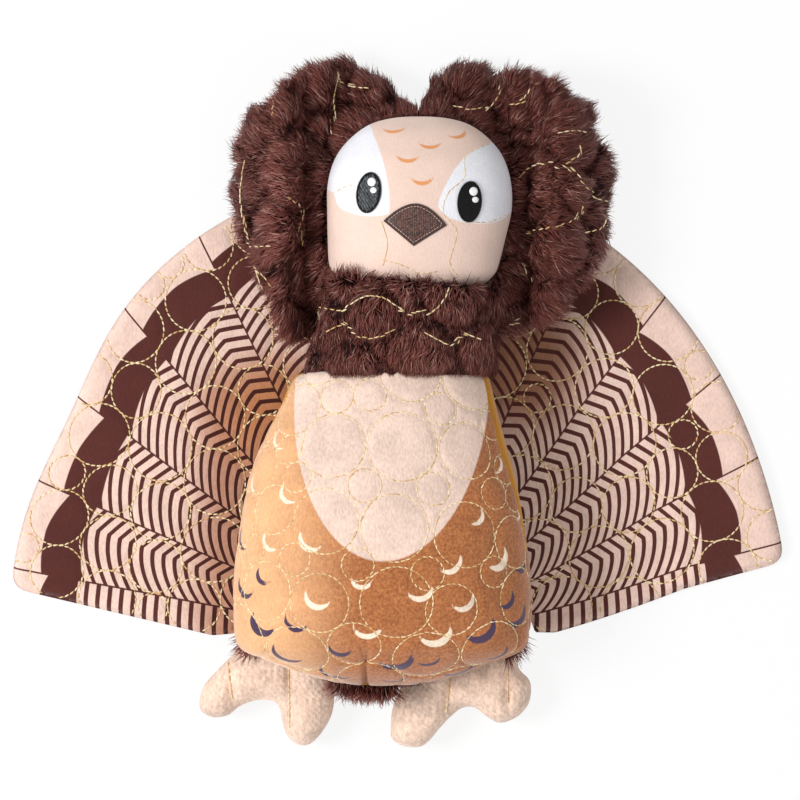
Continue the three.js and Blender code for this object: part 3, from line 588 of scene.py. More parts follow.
# Feather marks, each at x, y with its radius and thickness. They lean outwards away from the middle
# of the body, the more the nearer they are to the neck.
CREAM_MARKS = [
    (-45.4, -14, 4.6, 1.5), (-55.5, -31, 4.4, 1.6), (-42, -34.6, 4.6, 1.9), (-49.3, -52.7, 4.6, 2.0),
    (-33.9, -52.1, 5.2, 2.3), (-31.5, -74.2, 5.2, 2.4), (-14.6, -66.9, 4.4, 1.8),
    (-12.2, -85.1, 5.6, 2.3), (7.5, -70.9, 5.2, 2.2), (13.6, -87.9, 6.4, 3.3), (24, -75.4, 4.8, 2.3),
    (18.8, -60.5, 5, 2.1), (37, -59.6, 5.2, 2.8), (28.9, -43.3, 3.9, 1.9), (36.3, -23.3, 4.4, 1.5),
    (44.7, -42.2, 3.8, 1.5),
]
PLUM_MARKS = [
    (-60.4, -52.4, 4.8, 1.9), (-59.4, -70.4, 5.4, 2.3), (-52.1, -66.2, 4.0, 2.0),
    (-53.2, -84.8, 5.6, 3.6), (-39.6, -83.3, 4.8, 2.1), (-43.2, -96.5, 6.4, 2.4),
    (-23.1, -94.4, 4.6, 2.5), (-24.7, -104, 6.4, 2.2), (-1.7, -98.7, 6.6, 3.6), (10.8, -98.3, 4.8, 1.6),
    (-2.2, -106, 5.4, 1.2), (22.4, -102.6, 6.6, 2.4), (37.2, -96.7, 4.8, 1.8), (30.8, -86.5, 6.4, 3.6),
    (45.4, -81.7, 5.4, 3.2), (40.8, -75.4, 4.2, 2.3), (46.4, -61.3, 4.8, 2.2),
]
# The printed pile is matt and mottled, since its tufts lie this way and that.
printed = plush("printed_short_plush", body_print, nap=0.25, pile=0.8, sheen=0.5)
shell, faces = closed_sheet(cover, cover - outward * CLOTH)
body_front = make_piece("body_front", shell, faces, printed, {
    "bib": both_sides(bib),
    "cream": both_sides(crescents(points, cover_tree, CREAM_MARKS, hollow=1.03)),
    "plum": both_sides(crescents(points, cover_tree, PLUM_MARKS, hollow=1.03)),
})
belongs(body_front, "root", "printed_plush", "body_front_panel", fill=0.9)

body_stitches = circle_stitches(cover_tree, body_circles, STITCH_PITCH)
body_quilting = sew("body_quilting", body_stitches, gold_thread, STITCH_LENGTH, THREAD_WIDTH)
belongs(body_quilting, "root", "printed_plush")

# Body gussets, left and right: plain mustard plush, cut as long curved strips and sewn between
# the front and the back, so that they show only as a narrow edge.
# Plain dyed pile, matt and nearly even.
mustard = plush("mustard_short_plush", lambda tree, place: linear("c98a2c"), nap=0.16)
BACK_FROM, BACK_TO = 210, 330
GUSSET_ROWS, GUSSET_COLUMNS, GUSSET_DIP = 100, 36, 1.6
gusset_dip = GUSSET_DIP * np.exp(-(from_edge(GUSSET_COLUMNS, 1.2) / SEAM_WIDTH) ** 2)
for side, start, stop in (("left", side_seam("left", GUSSET_ROWS), BACK_FROM),
                          ("right", BACK_TO - 360, side_seam("right", GUSSET_ROWS))):
    strip = form_grid(body_stations, start, stop, GUSSET_ROWS, GUSSET_COLUMNS)
    outward = grid_normals(strip, row_middles(body_stations, GUSSET_ROWS))
    strip = strip - outward * gusset_dip[None, :, None]
    shell, faces = closed_sheet(strip, strip - outward * CLOTH)
    gusset = make_piece(f"body_gusset_{side}_cloth", shell, faces, mustard)
    belongs(gusset, "root", "mustard_plush", f"body_gusset_{side}", fill=0.9)

# Body back: long brown fur fabric. Its pile stands out past the printed front round the base and
# is what shows between the feet.
fur_tree, given = node_group("long_pile", {
    "Backing": "Geometry", "Strands per square metre": "Float", "Strand length": "Float",
    "Strand width": "Float", "Lay": "Float", "Clumping": "Float", "Clump size": "Float",
    "Seed": "Int", "Pile": "Material", "Fur": "Geometry"})
cover_share = add(fur_tree, "GeometryNodeInputNamedAttribute", "cover", data_type="FLOAT")
density = add(fur_tree, "ShaderNodeMath", given["Strands per square metre"], cover_share,
              operation="MULTIPLY")
roots = add(fur_tree, "GeometryNodeDistributePointsOnFaces",
            named={"Mesh": given["Backing"], "Density": density, "Seed": given["Seed"]})
# The strand: a long thin pyramid of three sides, in two lengths, that bows over towards +X. A real
# one is too fine to show, so each of these is as wide as a wisp of them, 0.7 to 0.8 mm.
BOW_POWER, BOW_OUT, BOW_SUNK = 1.6, 0.62, -0.3
length = given["Strand length"]
root_radius = add(fur_tree, "ShaderNodeMath", given["Strand width"], 0.5, operation="MULTIPLY")
cone = add(fur_tree, "GeometryNodeMeshCone", 3, 2, 1, 0.0, root_radius, length, fill_type="NGON")
place = add(fur_tree, "GeometryNodeInputPosition")
height = add(fur_tree, "ShaderNodeSeparateXYZ", place).outputs["Z"]
share = add(fur_tree, "ShaderNodeMath", height, length, operation="DIVIDE")
bow = add(fur_tree, "ShaderNodeMath", share, BOW_POWER, operation="POWER")
bow = add(fur_tree, "ShaderNodeMath", bow, length, operation="MULTIPLY")
sideways = add(fur_tree, "ShaderNodeMath", bow, BOW_OUT, operation="MULTIPLY")
sunk = add(fur_tree, "ShaderNodeMath", bow, BOW_SUNK, operation="MULTIPLY")
offset = add(fur_tree, "ShaderNodeCombineXYZ", sideways, 0.0, sunk)
marked = add(fur_tree, "GeometryNodeStoreNamedAttribute", cone,
             named={"Name": "along", "Value": share}, domain="POINT", data_type="FLOAT")
strand = add(fur_tree, "GeometryNodeSetPosition", marked, named={"Offset": offset})
# Where each strand points: out of the cloth, over along the comb, and together in clumps.
STRAY, SHORTEST, LONGEST = 0.3, 0.7, 1.12
comb = add(fur_tree, "GeometryNodeInputNamedAttribute", "comb", data_type="FLOAT_VECTOR")
clump_scale = add(fur_tree, "ShaderNodeMath", 1.0, given["Clump size"], operation="DIVIDE")
clump = add(fur_tree, "ShaderNodeTexNoise", place, named={"Scale": clump_scale, "Detail": 1.0})
clump_way = add(fur_tree, "ShaderNodeVectorMath", clump.outputs["Color"], (0.5, 0.5, 0.5),
                operation="SUBTRACT")
clump_way = add(fur_tree, "ShaderNodeVectorMath", clump_way, operation="SCALE",
                named={"Scale": given["Clumping"]})
chance = add(fur_tree, "FunctionNodeRandomValue", (-1, -1, -1), (1, 1, 1),
             named={"Seed": given["Seed"]}, data_type="FLOAT_VECTOR")
chance_way = add(fur_tree, "ShaderNodeVectorMath", chance.outputs[0], operation="SCALE",
                 named={"Scale": STRAY})
stray = add(fur_tree, "ShaderNodeVectorMath", clump_way, chance_way, operation="ADD")
leaning = add(fur_tree, "ShaderNodeVectorMath", comb, operation="SCALE",
              named={"Scale": given["Lay"]})
stand = add(fur_tree, "ShaderNodeVectorMath", roots.outputs["Normal"], leaning, operation="ADD")
stand = add(fur_tree, "ShaderNodeVectorMath", stand, stray, operation="ADD")
lay = add(fur_tree, "ShaderNodeVectorMath", comb, stray, operation="ADD")
pile = add(fur_tree, "GeometryNodeInputNamedAttribute", "pile", data_type="FLOAT")
uneven = add(fur_tree, "FunctionNodeRandomValue", None, None, SHORTEST, LONGEST,
             named={"Seed": given["Seed"]}, data_type="FLOAT")
size = add(fur_tree, "ShaderNodeMath", uneven.outputs[1], pile, operation="MULTIPLY")
planted = laid_out(fur_tree, roots.outputs["Points"], strand, stand, lay, size)
shade = add(fur_tree, "FunctionNodeRandomValue", named={"Seed": 7}, data_type="FLOAT")
whole = add(fur_tree, "GeometryNodeJoinGeometry",
            made_real(fur_tree, planted, "shade", shade, given["Pile"]))
fur_tree.links.new(given["Backing"], whole.inputs[0])
add(fur_tree, "NodeGroupOutput", whole)

# Acrylic fur pile: red-brown and glossy towards the tip, painted dark towards the root as painted shade
# deep in the pile, and a few strands painted pale as painted glints of light on the fibres.
fur_pile, tree, shader = new_material("brown_acrylic_pile", {"Roughness": 0.4, "Specular IOR Level": 0.3})
rise = add(tree, "ShaderNodeAttribute", attribute_name="along").outputs["Fac"]
shade = add(tree, "ShaderNodeAttribute", attribute_name="shade").outputs["Fac"]
body_tone = paint_over(tree, shade, linear("69302a"), linear("a45e52"))
# Painted highlights: a few strands are painted pale, as glints of light on the fibres.
painted_glint_strands = add(tree, "ShaderNodeMapRange", shade, 0.84, 1.0, 0.0, 0.85)
body_tone = paint_over(tree, painted_glint_strands, body_tone, linear("e0b3a6"))
# Painted shade: each strand is painted dark towards its root, for the shade deep in the pile.
up_strand = add(tree, "ShaderNodeMapRange", rise, 0.0, 0.85, 0.0, 1.0)
tone = paint_over(tree, up_strand, linear("210c0a"), body_tone)
tree.links.new(tone, shader.inputs["Base Color"])
# The knit that carries the pile is dark and matt, and shows only where the pile parts.
fur_backing = plush("brown_knit_backing", lambda tree, place: linear("321614"), sheen=0.1)


def combed(ways, normals):
    """Directions turned so that they lie along a surface."""
    return unit(ways - normals * np.sum(ways * normals, axis=-1, keepdims=True))


def fur_fabric(name, outer, inner, comb, cover, pile, strands, length, width, lay, clumping,
               clump_size, seed, around=False):
    """A closed piece of fur fabric. comb, cover and pile say for each outer point which way the
    strands are brushed, how many of them grow there and how long they are. strands is how many
    there are on a square millimetre."""
    shell, faces = closed_sheet(outer, inner, around)
    bare = np.zeros(len(shell) // 2)
    backing = make_piece(name, shell, faces, fur_backing, {
        "comb": both_sides(comb.reshape(-1, 3)),
        "cover": np.concatenate([np.ravel(cover), bare]),
        "pile": np.concatenate([np.ravel(pile), bare]),
    })
    return run_tree(backing, fur_tree, {
        "Strands per square metre": strands * 1e6, "Strand length": length * MM,
        "Strand width": width * MM, "Lay": lay, "Clumping": clumping, "Clump size": clump_size * MM,
        "Seed": seed, "Pile": fur_pile})


BACK_ROWS, BACK_COLUMNS = 70, 60
back = form_grid(body_stations, BACK_FROM, BACK_TO, BACK_ROWS, BACK_COLUMNS)
outward = grid_normals(back, row_middles(body_stations, BACK_ROWS))
# Only the pile round the base and the sides can be seen, so it thins out under the body.
base = np.clip((-84 - back[..., 1]) / 14, 0, 1)
flank = np.exp(-(from_edge(BACK_COLUMNS) / 5.0) ** 2)[None, :]
cover_share = np.clip(0.05 + base + 0.6 * flank, 0, 1)
# Over the feet the pile was trimmed short, so that they can turn.
beside_feet = (back[..., 0] > -25) & (back[..., 0] < -3)
corners = (np.abs(back[..., 0] + 7) > 47) & (back[..., 1] < -84)
long_enough = np.where(corners, 1.4, np.where(beside_feet, 1.15, 0.3))
away = unit(back - np.array([-6, -40, 36]))
away[..., 2] *= 0.2
body_back = fur_fabric("body_back_fur", back, back - outward * CLOTH, unit(away), cover_share,
                       long_enough, strands=4.1, length=10, width=0.8, lay=0.9, clumping=1.6,
                       clump_size=5, seed=5)
belongs(body_back, "root", "brown_fur", "body_back_panel", fill=0.9)

# Body filling: loose polyester fibre, pushed in by hand round the squeaker through the last open
# stretch of a seam, so it is lumpy.
def fibre_paint(tree, place):
    """White with faint grey lumps, 90 to the metre, so 11 mm apart."""
    lumps = add(tree, "ShaderNodeTexNoise", named={"Vector": place, "Scale": 90.0, "Detail": 6.0})
    return paint_over(tree, lumps.outputs["Fac"], linear("e9e6df"), linear("fbfaf6"))


# White fibre with a soft bloom and hardly a shadow in it.
polyester = plush("polyester_fibre_filling", fibre_paint, nap=0.05)
LUMP_SIZES = (5.1, 6.3, 5.7)


def lump(name, stations, inset):
    """A closed stuffing form, inset from its cover and uneven as hand filling is."""
    rows, columns = 40, 48
    form = form_grid(stations, 0, 360 * (columns - 1) / columns, rows, columns)
    middles = row_middles(stations, rows)
    low, high = form[..., 1].min(), form[..., 1].max()
    shorter = 1 - 2 * inset / (high - low)
    for grid in (form, middles):
        grid[..., 1] = (low + high) / 2 + (grid[..., 1] - (low + high) / 2) * shorter
    reach = np.linalg.norm(form - middles, axis=-1, keepdims=True)
    outward = unit(form - middles)
    wave = np.prod(np.sin(form / LUMP_SIZES), axis=-1, keepdims=True)
    form = form - outward * np.minimum(inset + 0.5 + 0.5 * wave, 0.6 * reach)
    core = middles + outward * np.minimum(1.5, 0.2 * reach)
    shell, faces = closed_sheet(form, core, around=True)
    return make_piece(name, shell, faces, polyester)


body_filling = lump("body_fibre", body_stations, inset=4.2)
belongs(body_filling, "root", "polyester_filling", "body_filling_front", "body_filling_back", fill=0.8)

# Squeaker: a soft vinyl bulb with a reed pressed in its mouth, held by the filling. The solids are
# its true shape, so they stay and take the vinyl, which is smooth, a little waxy and lets light in.
vinyl, tree, shader = new_material("soft_moulded_vinyl", {
    "Roughness": 0.38, "Subsurface Weight": 0.15, "Subsurface Radius": (0.003, 0.003, 0.0025)})
grain = add(tree, "ShaderNodeTexNoise",
            named={"Vector": add(tree, "ShaderNodeTexCoord").outputs["Object"],
                   "Scale": 1 / (1.5 * MM), "Detail": 2.0})
tree.links.new(paint_over(tree, grain.outputs["Fac"], linear("ddd8ca"), linear("ece8dc")),
               shader.inputs["Base Color"])
for node in ("squeaker_bulb", "squeaker_reed"):
    mesh = frame["nodes"][node].data
    mesh.materials.clear()
    mesh.materials.append(vinyl)

# Fan tail: two cloths quilted over a crinkle film, pale printed plush in front and brown plush
# behind, turned out through the hem. It folds up along the body on both sides.
APEX_Y, EDGE_RADIUS, CREST_RISE, CREST_POWER, HALF_ANGLE = -95, 156.5, 30, 2.2, 82.4
FAN_THICK, FAN_SEAM, FAN_BACK = 7.4, 2.0, 0.35
FEATHER, STRIPE_PITCH, BEND_AT = 13.23, 4.7, 0.29
SPLIT_LEFT, SPLIT_RIGHT, SPLIT_GAP, FOLD_REACH = -35, 25, 0.02, 4.5
RIM_ROLL = 4.5
PAD_SPACING = 1.35


def rim_point(degrees):
    angle = math.radians(degrees)
    radius = EDGE_RADIUS + CREST_RISE * math.cos(angle) ** CREST_POWER
    return (math.sin(angle) * radius, APEX_Y + math.cos(angle) * radius)


def rounded_corner(before, corner, after, radius):
    """A few points that round a corner off."""
    a, b, c = (np.array(p, float) for p in (before, corner, after))
    start = b + radius * (a - b) / np.linalg.norm(a - b)
    end = b + radius * (c - b) / np.linalg.norm(c - b)
    return [tuple((1 - t) ** 2 * start + 2 * t * (1 - t) * b + t ** 2 * end)
            for t in np.linspace(0, 1, 6)]


def half_fan(hem, sign):
    """The hem and the rim of one half of the fan, from the middle of the hem to the top."""
    edge = [rim_point(degrees) for degrees in np.linspace(sign * (HALF_ANGLE - 4), 0, 90)]
    return hem + rounded_corner(hem[-1], rim_point(sign * HALF_ANGLE), edge[0], 7) + edge


HEM_LEFT = [(0, -85), (-62, -85.5), (-66.5, -92.5), (-75, -93.2)]
HEM_RIGHT = [(0, -85), (51.5, -85.5), (54, -92.5), (62, -93.2)]
fan_outline = half_fan(HEM_LEFT, -1) + half_fan(HEM_RIGHT, 1)[::-1]


def finely(outline, spacing):
    """The same outline with points at an even spacing along it."""
    closed = np.concatenate([outline, outline[:1]]).astype(float)
    return evenly(closed, lambda length: int(length / spacing), endpoint=False)


def cut_at(outline, x, keep_greater):
    """The part of an outline on one side of a straight cut."""
    kept = []
    for a, b in zip(outline, np.roll(outline, -1, axis=0)):
        in_a, in_b = (a[0] > x) == keep_greater, (b[0] > x) == keep_greater
        if in_a:
            kept.append(a)
        if in_a != in_b:
            kept.append(a + (b - a) * (x - a[0]) / (b[0] - a[0]))
    return np.array(kept)


def inside_distance(points, outline):
    """How far each point lies inside an outline, and below nought where it lies outside."""
    apart = np.full(len(points), 1e9)
    odd = np.zeros(len(points), bool)
    for a, b in zip(outline, np.roll(outline, -1, axis=0)):
        edge = b - a
        share = np.clip((points - a) @ edge / max(edge @ edge, 1e-12), 0, 1)
        apart = np.minimum(apart, np.linalg.norm(points - a - share[:, None] * edge, axis=1))
        if a[1] != b[1]:
            crosses = (a[1] > points[:, 1]) != (b[1] > points[:, 1])
            odd ^= crosses & (points[:, 0] < a[0] + edge[0] * (points[:, 1] - a[1]) / edge[1])
    return np.where(odd, apart, -apart)


def flat_mesh(outline, spacing):
    """An even net of triangles that fills an outline: its points, and the faces of a closed flat
    piece that has this net twice, with a wall between the two borders."""
    low, high = outline.min(axis=0), outline.max(axis=0)
    net = []
    for i, y in enumerate(np.arange(low[1], high[1], spacing * 0.87)):
        row = np.arange(low[0] + (i % 2) * spacing / 2, high[0], spacing)
        net.append(np.column_stack([row, np.full(len(row), y)]))
    net = np.concatenate(net)
    net = net[inside_distance(net, outline) > 0.55 * spacing]
    everything = np.concatenate([outline, net])
    border = list(range(len(outline)))
    made = delaunay_2d_cdt([Vector(p) for p in everything.tolist()], [], [border], 1, 1e-5)
    points, triangles = np.array([tuple(p) for p in made[0]]), np.array(made[2])
    order = {old: new for new, olds in enumerate(made[3]) for old in olds}
    border = [order[i] for i in border]
    count = len(points)
    wall = [t for a, b in zip(border, border[1:] + border[:1])
            for t in ((a, b, b + count), (a, b + count, a + count))]
    return points, np.concatenate([triangles, triangles + count, np.array(wall)])


# How far the rim is pulled in, at which length from the apex, and at which angle and how wide.
RIM_DRAWN, RIM_REACH, DRAWN_MIDDLE, DRAWN_SPREAD = 5.3, 165, 56, 13


def drawn_in(points):
    """The hem pulls the rim of the left half in, between its corner and the ruff, and lifts the
    corner of the right half."""
    arm = points - np.array([0, APEX_Y])
    length = np.linalg.norm(arm, axis=1)
    angle = np.degrees(np.arctan2(arm[:, 0], arm[:, 1]))
    pulled = np.exp(-((-angle - DRAWN_MIDDLE) / DRAWN_SPREAD) ** 2)
    length = length - RIM_DRAWN * pulled * (length / RIM_REACH) ** 2
    lift = (0.2 + 0.045 * angle) * np.clip(angle / 20, 0, 1) * np.clip((length - 45) / 70, 0, 1)
    angle = np.radians(angle - lift)
    return np.column_stack([length * np.sin(angle), APEX_Y + length * np.cos(angle)])


def pad_piece(name, outline, top, bottom, material, spacing=PAD_SPACING, moved=lambda points: points):
    """A closed flat pad: the same net twice, at the heights that two functions of x, y give. The
    print is laid on before the net is moved."""
    points, faces = flat_mesh(outline, spacing)
    count = len(points)
    shifted = moved(points)
    both = np.concatenate([np.column_stack([shifted, side(points)]) for side in (top, bottom)])
    piece = make_piece(name, both, faces, material)
    plan = piece.data.uv_layers.new(name="plan")
    places = np.array([points[loop.vertex_index % count] for loop in piece.data.loops]) * MM
    plan.data.foreach_set("uv", places.astype(np.float32).ravel())
    return piece


def feather_print(tree, place):
    """Overlapping feathers in rows: a pale rim, a dark scalloped band and bent stripes. All of the print
    is worked out from the distance to the rim and the place across one feather; painted light and shade
    beside the body is laid over it by place."""
    plan = add(tree, "ShaderNodeUVMap", uv_map="plan")
    parts = add(tree, "ShaderNodeSeparateXYZ", plan)
    x, y = parts.outputs["X"], add(tree, "ShaderNodeMath", parts.outputs["Y"], -APEX_Y * MM)
    angle = add(tree, "ShaderNodeMath", x, y, operation="ARCTAN2")
    turn = add(tree, "ShaderNodeMath", angle, operation="ABSOLUTE")
    arm = add(tree, "ShaderNodeCombineXYZ", x, y, 0.0)
    radius = add(tree, "ShaderNodeVectorMath", arm, operation="LENGTH").outputs["Value"]
    crest = add(tree, "ShaderNodeMath", turn, operation="COSINE")
    crest = add(tree, "ShaderNodeMath", crest, CREST_POWER, operation="POWER")
    edge = add(tree, "ShaderNodeMath", crest, CREST_RISE, EDGE_RADIUS, operation="MULTIPLY_ADD")
    radius_mm = add(tree, "ShaderNodeMath", radius, 1 / MM, operation="MULTIPLY")
    # The print lies further in from the rim on the right half.
    right = add(tree, "ShaderNodeMath", x, 0.0, operation="GREATER_THAN")
    further = add(tree, "ShaderNodeMath", turn, 2.9, 1.3, operation="MULTIPLY_ADD")
    further = add(tree, "ShaderNodeMath", right, further, operation="MULTIPLY")
    depth = add(tree, "ShaderNodeMath", edge, radius_mm, operation="SUBTRACT")
    depth = add(tree, "ShaderNodeMath", depth, further, operation="SUBTRACT")
    place_across = add(tree, "ShaderNodeMath", turn, 1 / math.radians(FEATHER), operation="MULTIPLY")
    across = add(tree, "ShaderNodeMath", place_across, operation="FRACT")

    def climb(start, stop, power):
        """Rises from 0 to 1 between two places across the feather."""
        share = add(tree, "ShaderNodeMapRange", across, start, stop, 0.0, 1.0)
        return add(tree, "ShaderNodeMath", share, power, operation="POWER")

    # The scalloped band starts 10 to 15 mm in from the rim and ends 26 to 28 mm in.
    near_line, far_line = climb(0.5, 0.0, 1.5), climb(0.5, 1.0, 2.4)
    outer = add(tree, "ShaderNodeMath", near_line, 4.6, 10.1, operation="MULTIPLY_ADD")
    outer = add(tree, "ShaderNodeMath", far_line, 1.6, outer, operation="MULTIPLY_ADD")
    arch = add(tree, "ShaderNodeMath", across, math.pi, operation="MULTIPLY")
    arch = add(tree, "ShaderNodeMath", arch, operation="SINE")
    inner = add(tree, "ShaderNodeMath", across, 1.4, 27.0, operation="MULTIPLY_ADD")
    inner = add(tree, "ShaderNodeMath", arch, -2.0, inner, operation="MULTIPLY_ADD")
    past_outer = add(tree, "ShaderNodeMath", depth, outer, operation="SUBTRACT")
    past_inner = add(tree, "ShaderNodeMath", depth, inner, operation="SUBTRACT")
    in_band = add(tree, "ShaderNodeMath", soft_step(tree, past_outer, 0.25, -0.25),
                  soft_step(tree, past_inner, -0.25, 0.25), operation="MULTIPLY")
    # The stripes run out to a point a third of the way across, then bend back in. Those next to the
    # hem run straight.
    short_leg, long_leg = climb(BEND_AT, 0.0, 1.0), climb(BEND_AT, 1.0, 1.7)
    bend = add(tree, "ShaderNodeMath", short_leg, 5.0, operation="MULTIPLY")
    bend = add(tree, "ShaderNodeMath", long_leg, 7.5, bend, operation="MULTIPLY_ADD")
    bend = add(tree, "ShaderNodeMath", bend, soft_step(tree, place_across, 5.99, 6.01),
               operation="MULTIPLY")
    stripe = depth
    for operation, value in (("SUBTRACT", bend), ("MULTIPLY", 1 / STRIPE_PITCH), ("FRACT", None),
                             ("SUBTRACT", 0.5), ("ABSOLUTE", None)):
        stripe = add(tree, "ShaderNodeMath", stripe, value, operation=operation)
    stripes = add(tree, "ShaderNodeMath", soft_step(tree, stripe, 0.17, 0.22),
                  soft_step(tree, past_inner, -0.4, -0.9), operation="MULTIPLY")
    # A thin quill line lies between the feathers, out to the rim.
    to_line = add(tree, "ShaderNodeMath", across, 0.5, operation="SUBTRACT")
    to_line = add(tree, "ShaderNodeMath", to_line, operation="ABSOLUTE")
    to_line = add(tree, "ShaderNodeMath", 0.5, to_line, operation="SUBTRACT")
    pitch = add(tree, "ShaderNodeMath", radius_mm, math.radians(FEATHER), operation="MULTIPLY")
    to_line = add(tree, "ShaderNodeMath", to_line, pitch, operation="MULTIPLY")
    quill = soft_step(tree, to_line, 0.2, 0.5)
    dark = add(tree, "ShaderNodeMath", in_band, stripes, operation="MAXIMUM")
    dark = add(tree, "ShaderNodeMath", dark, quill, operation="MAXIMUM")
    # Painted light: beside the body on the left the ground is painted warmer and darker, a painted
    # reflection of the orange body with painted shade, and up under the ruff on the right a darker patch
    # is a painted shadow.
    painted_glow_and_shade = add(tree, "ShaderNodeMath", soft_step(tree, x, -92 * MM, -70 * MM), -0.9, 0.9,
              operation="MULTIPLY_ADD")
    for share in (soft_step(tree, x, -40 * MM, -30 * MM),
                  soft_step(tree, parts.outputs["Y"], 0.0, 24 * MM)):
        painted_glow_and_shade = add(tree, "ShaderNodeMath", painted_glow_and_shade, share, operation="MULTIPLY")
    ground = paint_over(tree, painted_glow_and_shade, linear("e9cabc"), linear("b57f64"))
    # Painted patches: a warm painted reflection beside the body on the left, and a painted shadow under
    # the ruff on the right.
    for place_x, place_y, full, none, print_and_painted_light in ((-49, -4, 6, 36, "b87a52"), (50, 14, 12, 38, "a5745a")):
        apart = add(tree, "ShaderNodeVectorMath", plan, (place_x * MM, place_y * MM, 0),
                    operation="DISTANCE")
        apart = add(tree, "ShaderNodeMath", apart.outputs["Value"], 1 / MM, operation="MULTIPLY")
        ground = paint_over(tree, soft_step(tree, apart, full, none), ground, linear(print_and_painted_light))
    # Painted shade: beside the body on the left the stripes are painted darker.
    print_and_painted_light = paint_over(tree, painted_glow_and_shade, linear("532722"), linear("3a140e"))
    return paint_over(tree, dark, ground, print_and_painted_light)


# The tail's pile is short too, so its print stays crisp and only the ground is mottled.
fan_cloth = plush("printed_tail_plush", feather_print, nap=0.2, pile=0.8)
fan_fine = finely(fan_outline, PAD_SPACING)
FAN_LOW, FAN_HIGH, FAN_SPOTS = (-152, -90), (152, 92), 26000
FAN_DIP, FAN_LINE_WIDTH, FAN_STITCH, FAN_THREAD = 0.6, 1.4, 2.5, 0.76
spots = np.random.default_rng(3).uniform(FAN_LOW, FAN_HIGH, (FAN_SPOTS, 2))
spots = spots[inside_distance(spots, fan_fine) > 1.0]
spots = np.column_stack([spots, np.full(len(spots), FAN_THICK)])
fan_circles = pack_circles(spots, QUILT_SMALL, QUILT_LARGE, seed=8)


def fan_front(points):
    """Height of the printed cloth: rolled over at the rim and drawn in along the quilting."""
    roll = 1 - np.clip(inside_distance(points, fan_fine) / RIM_ROLL, 0, 1)
    height = np.sqrt(np.maximum(0, 1 - roll ** 2))
    flat = np.column_stack([points, np.full(len(points), FAN_THICK)])
    dip = FAN_DIP * np.exp(-(line_distance(flat, fan_circles) / FAN_LINE_WIDTH) ** 2)
    sway = 0.35 * np.sin(points[:, 0] / 13) * np.sin(points[:, 1] / 17)
    return FAN_SEAM + (FAN_THICK - FAN_SEAM - 0.3 - dip + sway) * height


def fan_back(points):
    roll = 1 - np.clip(inside_distance(points, fan_fine) / 3.0, 0, 1)
    return FAN_SEAM - (FAN_SEAM - FAN_BACK) * np.sqrt(np.maximum(0, 1 - roll ** 2))


# Crinkle film: thin polypropylene sheet, glossy and creased, between the two cloths.
film, tree, shader = new_material("crinkled_polypropylene_film", {"Roughness": 0.22})
creases = add(tree, "ShaderNodeTexVoronoi",
              named={"Vector": add(tree, "ShaderNodeTexCoord").outputs["Object"],
                     "Scale": 1 / (9 * MM)}, feature="DISTANCE_TO_EDGE")
tree.links.new(paint_over(tree, creases.outputs["Distance"], linear("f4f6f8"), linear("cdd3d9")),
               shader.inputs["Base Color"])
FILM_INSET, FILM_BOTTOM, FILM_TOP = 5, 1.95, 2.1
# The back cloth is plain brown pile, dark and matt.
brown_back = plush("brown_short_plush", lambda tree, place: linear("4a2824"))
folds = {joint["name"]: (Vector(joint["pos_m"]), joint["axis"]) for joint in frame["joints"]}


def fold_bend(piece, side):
    """Bakes a tail piece's place into its mesh. It finds the fold line beside the body and the way out
    over it, but doesn't turn the piece over.
    """
    place, axis = folds[f"tail_{side}_fold"]
    outward = Vector((axis[1], -axis[0], 0)).normalized()
    if (outward.x > 0) != (side == "right"):
        outward.negate()
    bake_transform(piece)


def level(height):
    return lambda points: np.full(len(points), float(height))


fan_parts = {
    "left": cut_at(fan_fine, SPLIT_LEFT - SPLIT_GAP, False),
    "centre": cut_at(cut_at(fan_fine, SPLIT_LEFT + SPLIT_GAP, True), SPLIT_RIGHT - SPLIT_GAP, False),
    "right": cut_at(fan_fine, SPLIT_RIGHT + SPLIT_GAP, True),
}
flat_corners = [(x, y, FAN_THICK) for x, y in ((-300, -300), (300, -300), (300, 300), (-300, 300))]
flat_tree = BVHTree.FromPolygons(flat_corners, [(0, 1, 2, 3)])
fan_stitches = circle_stitches(flat_tree, fan_circles, STITCH_PITCH)
spots = np.array([tuple(stitch[0])[:2] for stitch in fan_stitches])
on_fan = inside_distance(spots, fan_fine) > 1.2
fan_heights = fan_front(spots)
shifted = drawn_in(spots)
for part, outline in fan_parts.items():
    front = pad_piece(f"tail_{part}_print", outline, fan_front, level(FAN_SEAM + 0.15), fan_cloth,
                      moved=drawn_in)
    back = pad_piece(f"tail_{part}_lining", outline, level(FAN_SEAM - 0.1), fan_back, brown_back,
                     spacing=2.6, moved=drawn_in)
    middle = outline.mean(axis=0)
    small = outline + unit(middle - outline) * FILM_INSET
    crinkle = pad_piece(f"tail_{part}_crinkle", small, level(FILM_TOP), level(FILM_BOTTOM), film,
                        spacing=6, moved=drawn_in)
    lies = inside_distance(spots, outline) > 0
    seam = sew(f"tail_{part}_quilting", [
        ((*spot, height), stitch[1], (0, 0, 1))
        for stitch, spot, height, here, inside in zip(fan_stitches, shifted, fan_heights, lies, on_fan)
        if here and inside
    ], gold_thread, FAN_STITCH, FAN_THREAD)
    for piece, material_slot, node in (
        (front, "tail_printed_plush", "front"), (back, "tail_back_plush", "back"),
        (crinkle, "crinkle_film", "film"), (seam, "tail_printed_plush", None),
    ):
        if node:
            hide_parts(f"tail_{part}_{node}")
        if part == "centre":
            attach(piece, "root")
        else:
            fold_bend(piece, part)

# Feet: pale curly fleece over loose filling. The two halves of a cover are cut to the outline of the
# toes, joined along it and turned, and the heel is caught in the base seam of the body.
# Its wide curls throw small shadows, so it looks knobbly.
fleece = plush("pale_curled_fleece", lambda tree, place: linear("ebcdb9"), nap=0.4, pile=1.3, sheen=0.35)
FOOT_MIDDLE, FOOT_HALF, FOOT_ROUND = 10.9, 10.6, 10.0
CURL_RISE, CURL_SIZE, FIBRE_INSET = 0.42, 0.85, 2.8
